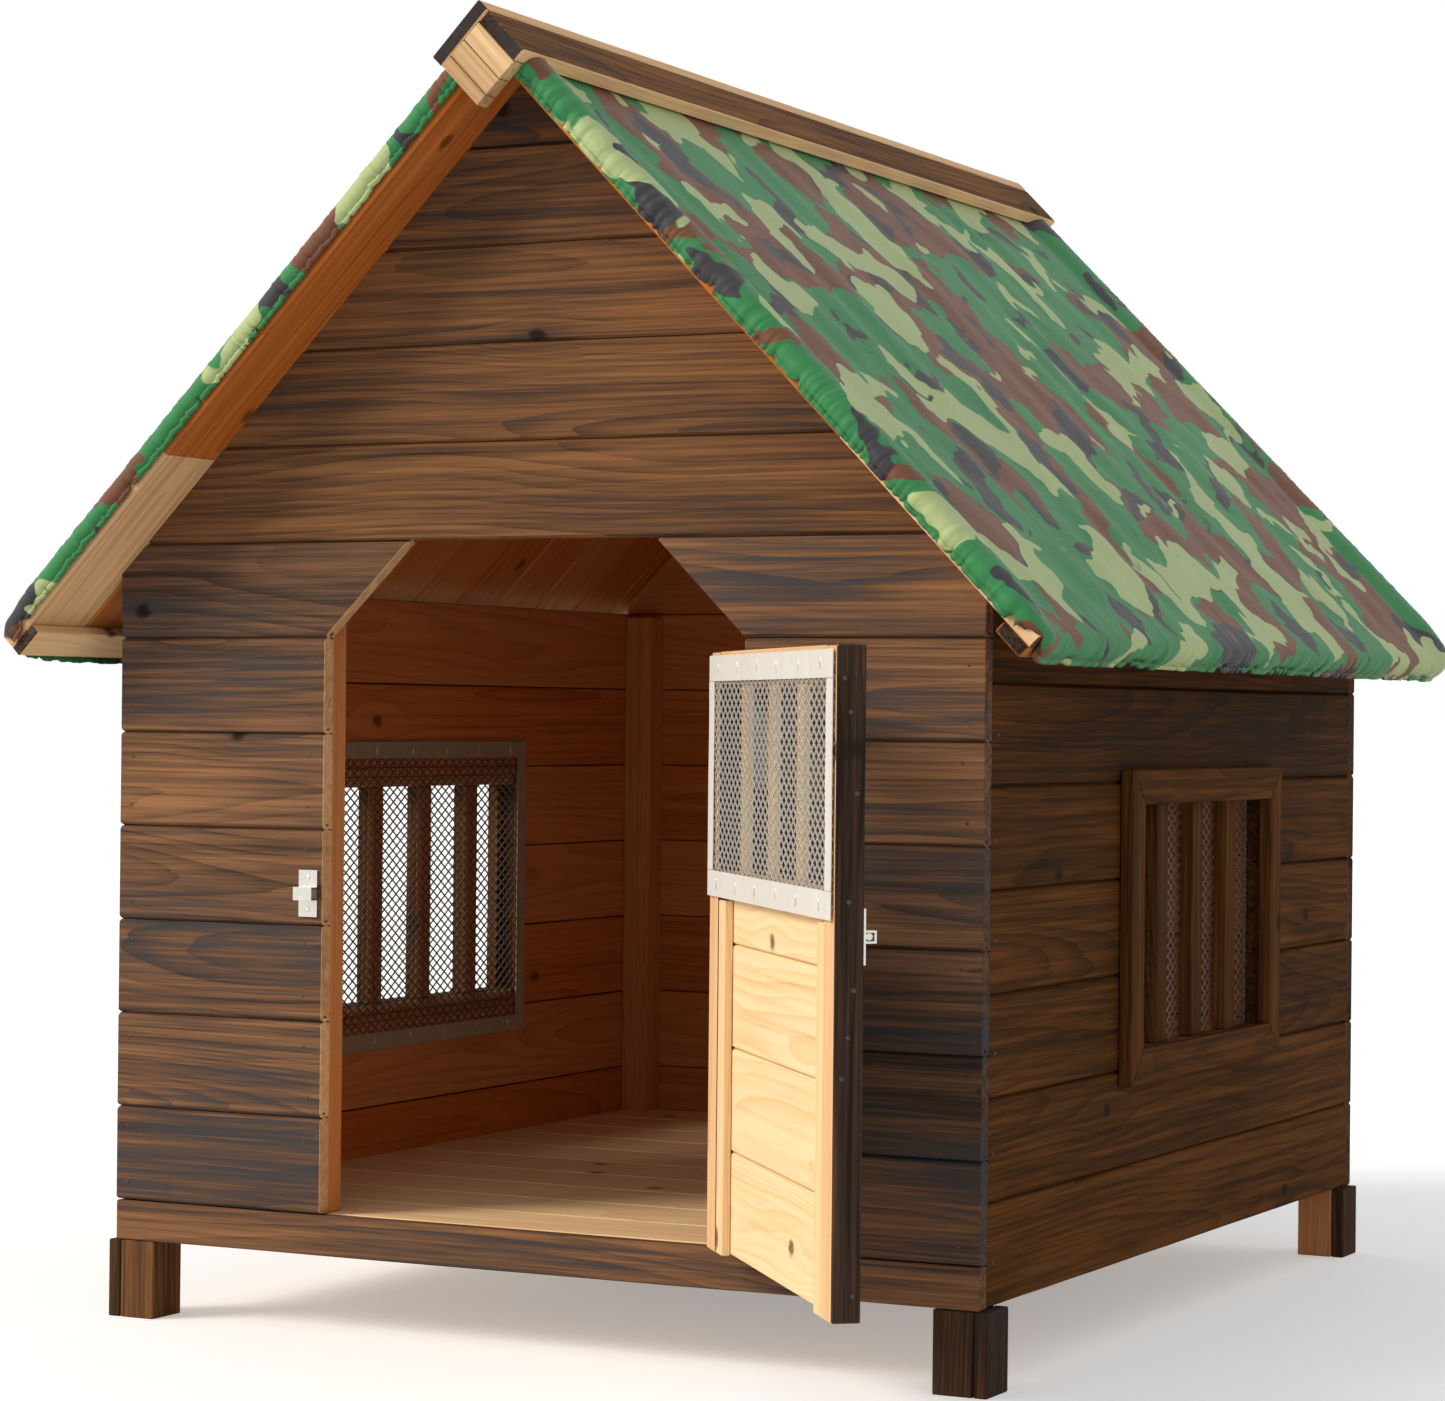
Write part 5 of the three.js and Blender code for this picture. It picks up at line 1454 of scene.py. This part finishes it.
def nail(pile, own, a, b, face, radius=1.5 * MM):
    """A small wire nail's head, just proud of the wood."""
    sides, rings = 10, [(1.0, -0.3), (0.95, 0.15), (0.5, 0.25)]
    first = len(pile.points)
    for share, high in rings:
        for i in range(sides):
            turn = 2 * math.pi * i / sides
            place = Vector(
                (a + radius * share * math.cos(turn), b + radius * share * math.sin(turn), face + high * MM)
            )
            pile.corner(own @ place)
    for ring in range(len(rings) - 1):
        for i in range(sides):
            j = (i + 1) % sides
            low, high = first + ring * sides, first + (ring + 1) * sides
            pile.face((low + i, low + j, high + j, high + i), 0)
    pile.face(range(first + 2 * sides, first + 3 * sides), 0)
    pile.face(range(first, first + sides), 0)


def drive_nails():
    cover = sizes().board_cover
    wander = random.Random(sizes().seed)
    for name, side in SIDES.items():
        node = f"front_boards_{name}"
        along, across, out = extent(node, FRONT)
        pile = Pile(f"{node} nails")
        for low, high in rows(*across, across[0], cover):
            for a in (along[0] + 15 * MM, along[1] - 15 * MM):
                for share in (0.22, 0.78):
                    b = low + (high - low) * share + wander.uniform(-4, 4) * MM
                    nail(pile, FRONT, a + wander.uniform(-4, 4) * MM, b, out[1])
        fasten(pile, f"{node}.nails", "nail", node)
        node = f"side_boards_{name}"
        own = WALL_SIDE[name]
        along, across, out = extent(node, own)
        pile = Pile(f"{node} nails")
        for low, high in rows(*across, across[0], cover):
            for a in (along[0] + 12 * MM, along[1] - 12 * MM):
                b = (low + high) / 2 + wander.uniform(-6, 6) * MM
                nail(pile, own, a + wander.uniform(-2, 2) * MM, b, out[1])
        fasten(pile, f"{node}.nails", "nail", node)
    node = "door_stile_free"
    edge = DOOR @ axes(Z, Y, -X)
    along, across, out = extent(node, edge)
    pile = Pile("door edge nails")
    for share in (0.04, 0.36, 0.42, 0.49, 0.62, 0.78, 0.9, 0.95):
        a = along[0] + (along[1] - along[0]) * share
        nail(pile, edge, a, sum(across) / 2 + wander.uniform(-5, 5) * MM, out[1], 1.8 * MM)
    fasten(pile, "door_stile_free.nails", "nail", node)


# ---------------------------------------------------------------- stage


CAMERA_PLACE = (1.531, -3.04846, 0.5166)
CAMERA_YAW, CAMERA_PITCH, CAMERA_ROLL = math.radians(26.72), math.radians(-0.26), math.radians(0.57)
LENS_MM = 95.28


def set_camera():
    """The camera of the photograph, from the fit of the house's straight edges."""
    cy, sy = math.cos(CAMERA_YAW), math.sin(CAMERA_YAW)
    cp, sp = math.cos(CAMERA_PITCH), math.sin(CAMERA_PITCH)
    cr, sr = math.cos(CAMERA_ROLL), math.sin(CAMERA_ROLL)
    right, ahead = Vector((cy, sy, 0)), Vector((-sy, cy, 0))
    view = cp * ahead - sp * Z
    up = sp * ahead + cp * Z
    across = cr * right + sr * up
    upright = -sr * right + cr * up
    data = bpy.data.cameras.new("camera")
    data.sensor_width, data.sensor_fit, data.lens = 36, "HORIZONTAL", LENS_MM
    camera = bpy.data.objects.new("camera", data)
    bpy.context.scene.collection.objects.link(camera)
    camera.matrix_world = axes(across, upright, -view, CAMERA_PLACE)
    bpy.context.scene.camera = camera


def set_stage():
    scene = bpy.context.scene
    scene.view_settings.view_transform = "Standard"
    set_camera()
    world = bpy.data.worlds.new("studio")
    scene.world = world
    world.use_nodes = True
    tree = world.node_tree
    tree.nodes.clear()
    path = add(tree, "LightPath")
    seen = add(tree, "Math", {0: path.outputs["Is Camera Ray"], 1: path.outputs["Is Glossy Ray"]}, operation="MAXIMUM")
    seen = add(tree, "Math", {0: seen.outputs[0], 1: path.outputs["Is Transmission Ray"]}, operation="MAXIMUM")
    soft = add(tree, "Background", {"Color": linear("#f4f6fa"), "Strength": 0.64})
    white = add(tree, "Background", {"Color": (1, 1, 1, 1), "Strength": 1.0})
    mixed = add(tree, "MixShader", {0: seen.outputs[0], 1: soft.outputs[0], 2: white.outputs[0]})
    add(tree, "OutputWorld", {0: mixed.outputs[0]})

    sun = bpy.data.lights.new("window light", "SUN")
    sun.energy = 2.35
    sun.angle = math.radians(24)
    sun.color = linear("#fff6ea")[:3]
    lamp = bpy.data.objects.new("window light", sun)
    scene.collection.objects.link(lamp)
    azimuth, height = math.radians(-46), math.radians(32)
    towards = Vector((math.sin(azimuth) * math.cos(height), -math.cos(azimuth) * math.cos(height), math.sin(height)))
    lamp.rotation_mode = "QUATERNION"
    lamp.rotation_quaternion = towards.to_track_quat("Z", "Y")

    mesh = bpy.data.meshes.new("floor")
    far = 40
    mesh.from_pydata([(-far, -far, 0), (far, -far, 0), (far, far, 0), (-far, far, 0)], [], [(0, 1, 2, 3)])
    floor = bpy.data.objects.new("studio_floor", mesh)
    scene.collection.objects.link(floor)
    paper = bpy.data.materials.new("studio paper")
    paper.use_nodes = True
    tree = paper.node_tree
    tree.nodes.clear()
    path = add(tree, "LightPath")
    seen = add(tree, "Math", {0: path.outputs["Is Camera Ray"], 1: path.outputs["Is Glossy Ray"]}, operation="MAXIMUM")
    seen = add(tree, "Math", {0: seen.outputs[0], 1: path.outputs["Is Transmission Ray"]}, operation="MAXIMUM")
    fill = add(tree, "Math", {0: seen.outputs[0], 1: 0.32}, operation="MULTIPLY")
    matt = add(tree, "BsdfDiffuse", {"Color": linear("#eeeeec")})
    glow = add(tree, "Emission", {"Color": (1, 1, 1, 1), "Strength": fill.outputs[0]})
    both = add(tree, "AddShader", {0: matt.outputs[0], 1: glow.outputs[0]})
    add(tree, "OutputMaterial", {0: both.outputs[0]})
    mesh.materials.append(paper)


# ---------------------------------------------------------------- operators and panel


class DOGHOUSE_OT_stage(bpy.types.Operator):
    """Sets the floor, the light and the camera"""

    bl_idname = "dog_house.stage"
    bl_label = "Stage"

    def execute(self, context):
        set_stage()
        return {"FINISHED"}


class DOGHOUSE_OT_walls(bpy.types.Operator):
    """Lays the wall boards on their posts"""

    bl_idname = "dog_house.walls"
    bl_label = "Walls"

    def execute(self, context):
        lay_front()
        lay_back()
        lay_sides()
        stand_posts()
        return {"FINISHED"}


class DOGHOUSE_OT_feet(bpy.types.Operator):
    """Stands the house on its four feet"""

    bl_idname = "dog_house.feet"
    bl_label = "Feet"

    def execute(self, context):
        stand_feet()
        return {"FINISHED"}


class DOGHOUSE_OT_floor(bpy.types.Operator):
    """Lays the floor boards on their bearers"""

    bl_idname = "dog_house.floor"
    bl_label = "Floor"

    def execute(self, context):
        lay_floor()
        return {"FINISHED"}


class DOGHOUSE_OT_windows(bpy.types.Operator):
    """Fits the side windows: casing, bars, netting and strips"""

    bl_idname = "dog_house.windows"
    bl_label = "Windows"

    def execute(self, context):
        for name in SIDES:
            casing(name)
            bars(name)
            inner = WALL_SIDE[name] @ axes(X, Y, -Z)
            # The net and the strips here use darker copies of the door's finishes: painted shade.
            netting(f"window_net_{name}", inner, "net in painted shade")
            strip_frame(f"window_strips_{name}", inner, 16 * MM, 16 * MM, (6, 4), True, "strip in painted shade")
        return {"FINISHED"}


class DOGHOUSE_OT_roof(bpy.types.Operator):
    """Lays the roof boards, their battens and the ridge beam"""

    bl_idname = "dog_house.roof"
    bl_label = "Roof"

    def execute(self, context):
        lay_roof()
        return {"FINISHED"}


class DOGHOUSE_OT_ridge(bpy.types.Operator):
    """Sets the ridge cap and its end blocks"""

    bl_idname = "dog_house.ridge"
    bl_label = "Ridge cap"

    def execute(self, context):
        lay_ridge()
        return {"FINISHED"}


class DOGHOUSE_OT_cover(bpy.types.Operator):
    """Stretches the gathered rain cover over the roof"""

    bl_idname = "dog_house.cover"
    bl_label = "Rain cover"

    def execute(self, context):
        cover, line, below, out, half = lay_cover()
        stitches = sew_hem(line, below, out)
        hem = 2 * (cloth_so_far(EAVE_EDGE)[-1] - RIM)
        return {"FINISHED"}


class DOGHOUSE_OT_door(bpy.types.Operator):
    """Hangs the boarded and netted door"""

    bl_idname = "dog_house.door"
    bl_label = "Door"

    def execute(self, context):
        hang_door()
        return {"FINISHED"}


class DOGHOUSE_OT_fittings(bpy.types.Operator):
    """Finishes the hinges, the barrel bolt, the screws and the nails"""

    bl_idname = "dog_house.fittings"
    bl_label = "Fittings"

    def execute(self, context):
        fit_hardware()
        drive_screws()
        drive_nails()
        return {"FINISHED"}


OPERATORS = (
    DOGHOUSE_OT_stage,
    DOGHOUSE_OT_walls,
    DOGHOUSE_OT_feet,
    DOGHOUSE_OT_floor,
    DOGHOUSE_OT_windows,
    DOGHOUSE_OT_roof,
    DOGHOUSE_OT_ridge,
    DOGHOUSE_OT_cover,
    DOGHOUSE_OT_door,
    DOGHOUSE_OT_fittings,
)


class DOGHOUSE_PT_panel(bpy.types.Panel):
    """Lists the sizes, the colours and the pieces"""

    bl_idname = "DOGHOUSE_PT_panel"
    bl_label = "Dog House"
    bl_space_type = "VIEW_3D"
    bl_region_type = "UI"
    bl_category = "Dog House"

    def draw(self, context):
        for group in (context.scene.dog_house_sizes, context.scene.dog_house_colours):
            box = self.layout.box()
            for name in group.__annotations__:
                box.prop(group, name)
        for operator in OPERATORS:
            self.layout.operator(operator.bl_idname)


CLASSES = (DogHouseSizes, DogHouseColours, *OPERATORS, DOGHOUSE_PT_panel)


def register():
    for item in CLASSES:
        bpy.utils.register_class(item)
    bpy.types.Scene.dog_house_sizes = PointerProperty(type=DogHouseSizes)
    bpy.types.Scene.dog_house_colours = PointerProperty(type=DogHouseColours)


def unregister():
    del bpy.types.Scene.dog_house_colours
    del bpy.types.Scene.dog_house_sizes
    for item in reversed(CLASSES):
        bpy.utils.unregister_class(item)


def main():
    register()
    for operator in OPERATORS:
        group, name = operator.bl_idname.split(".")
        getattr(getattr(bpy.ops, group), name)()


if __name__ == "__main__":
    main()
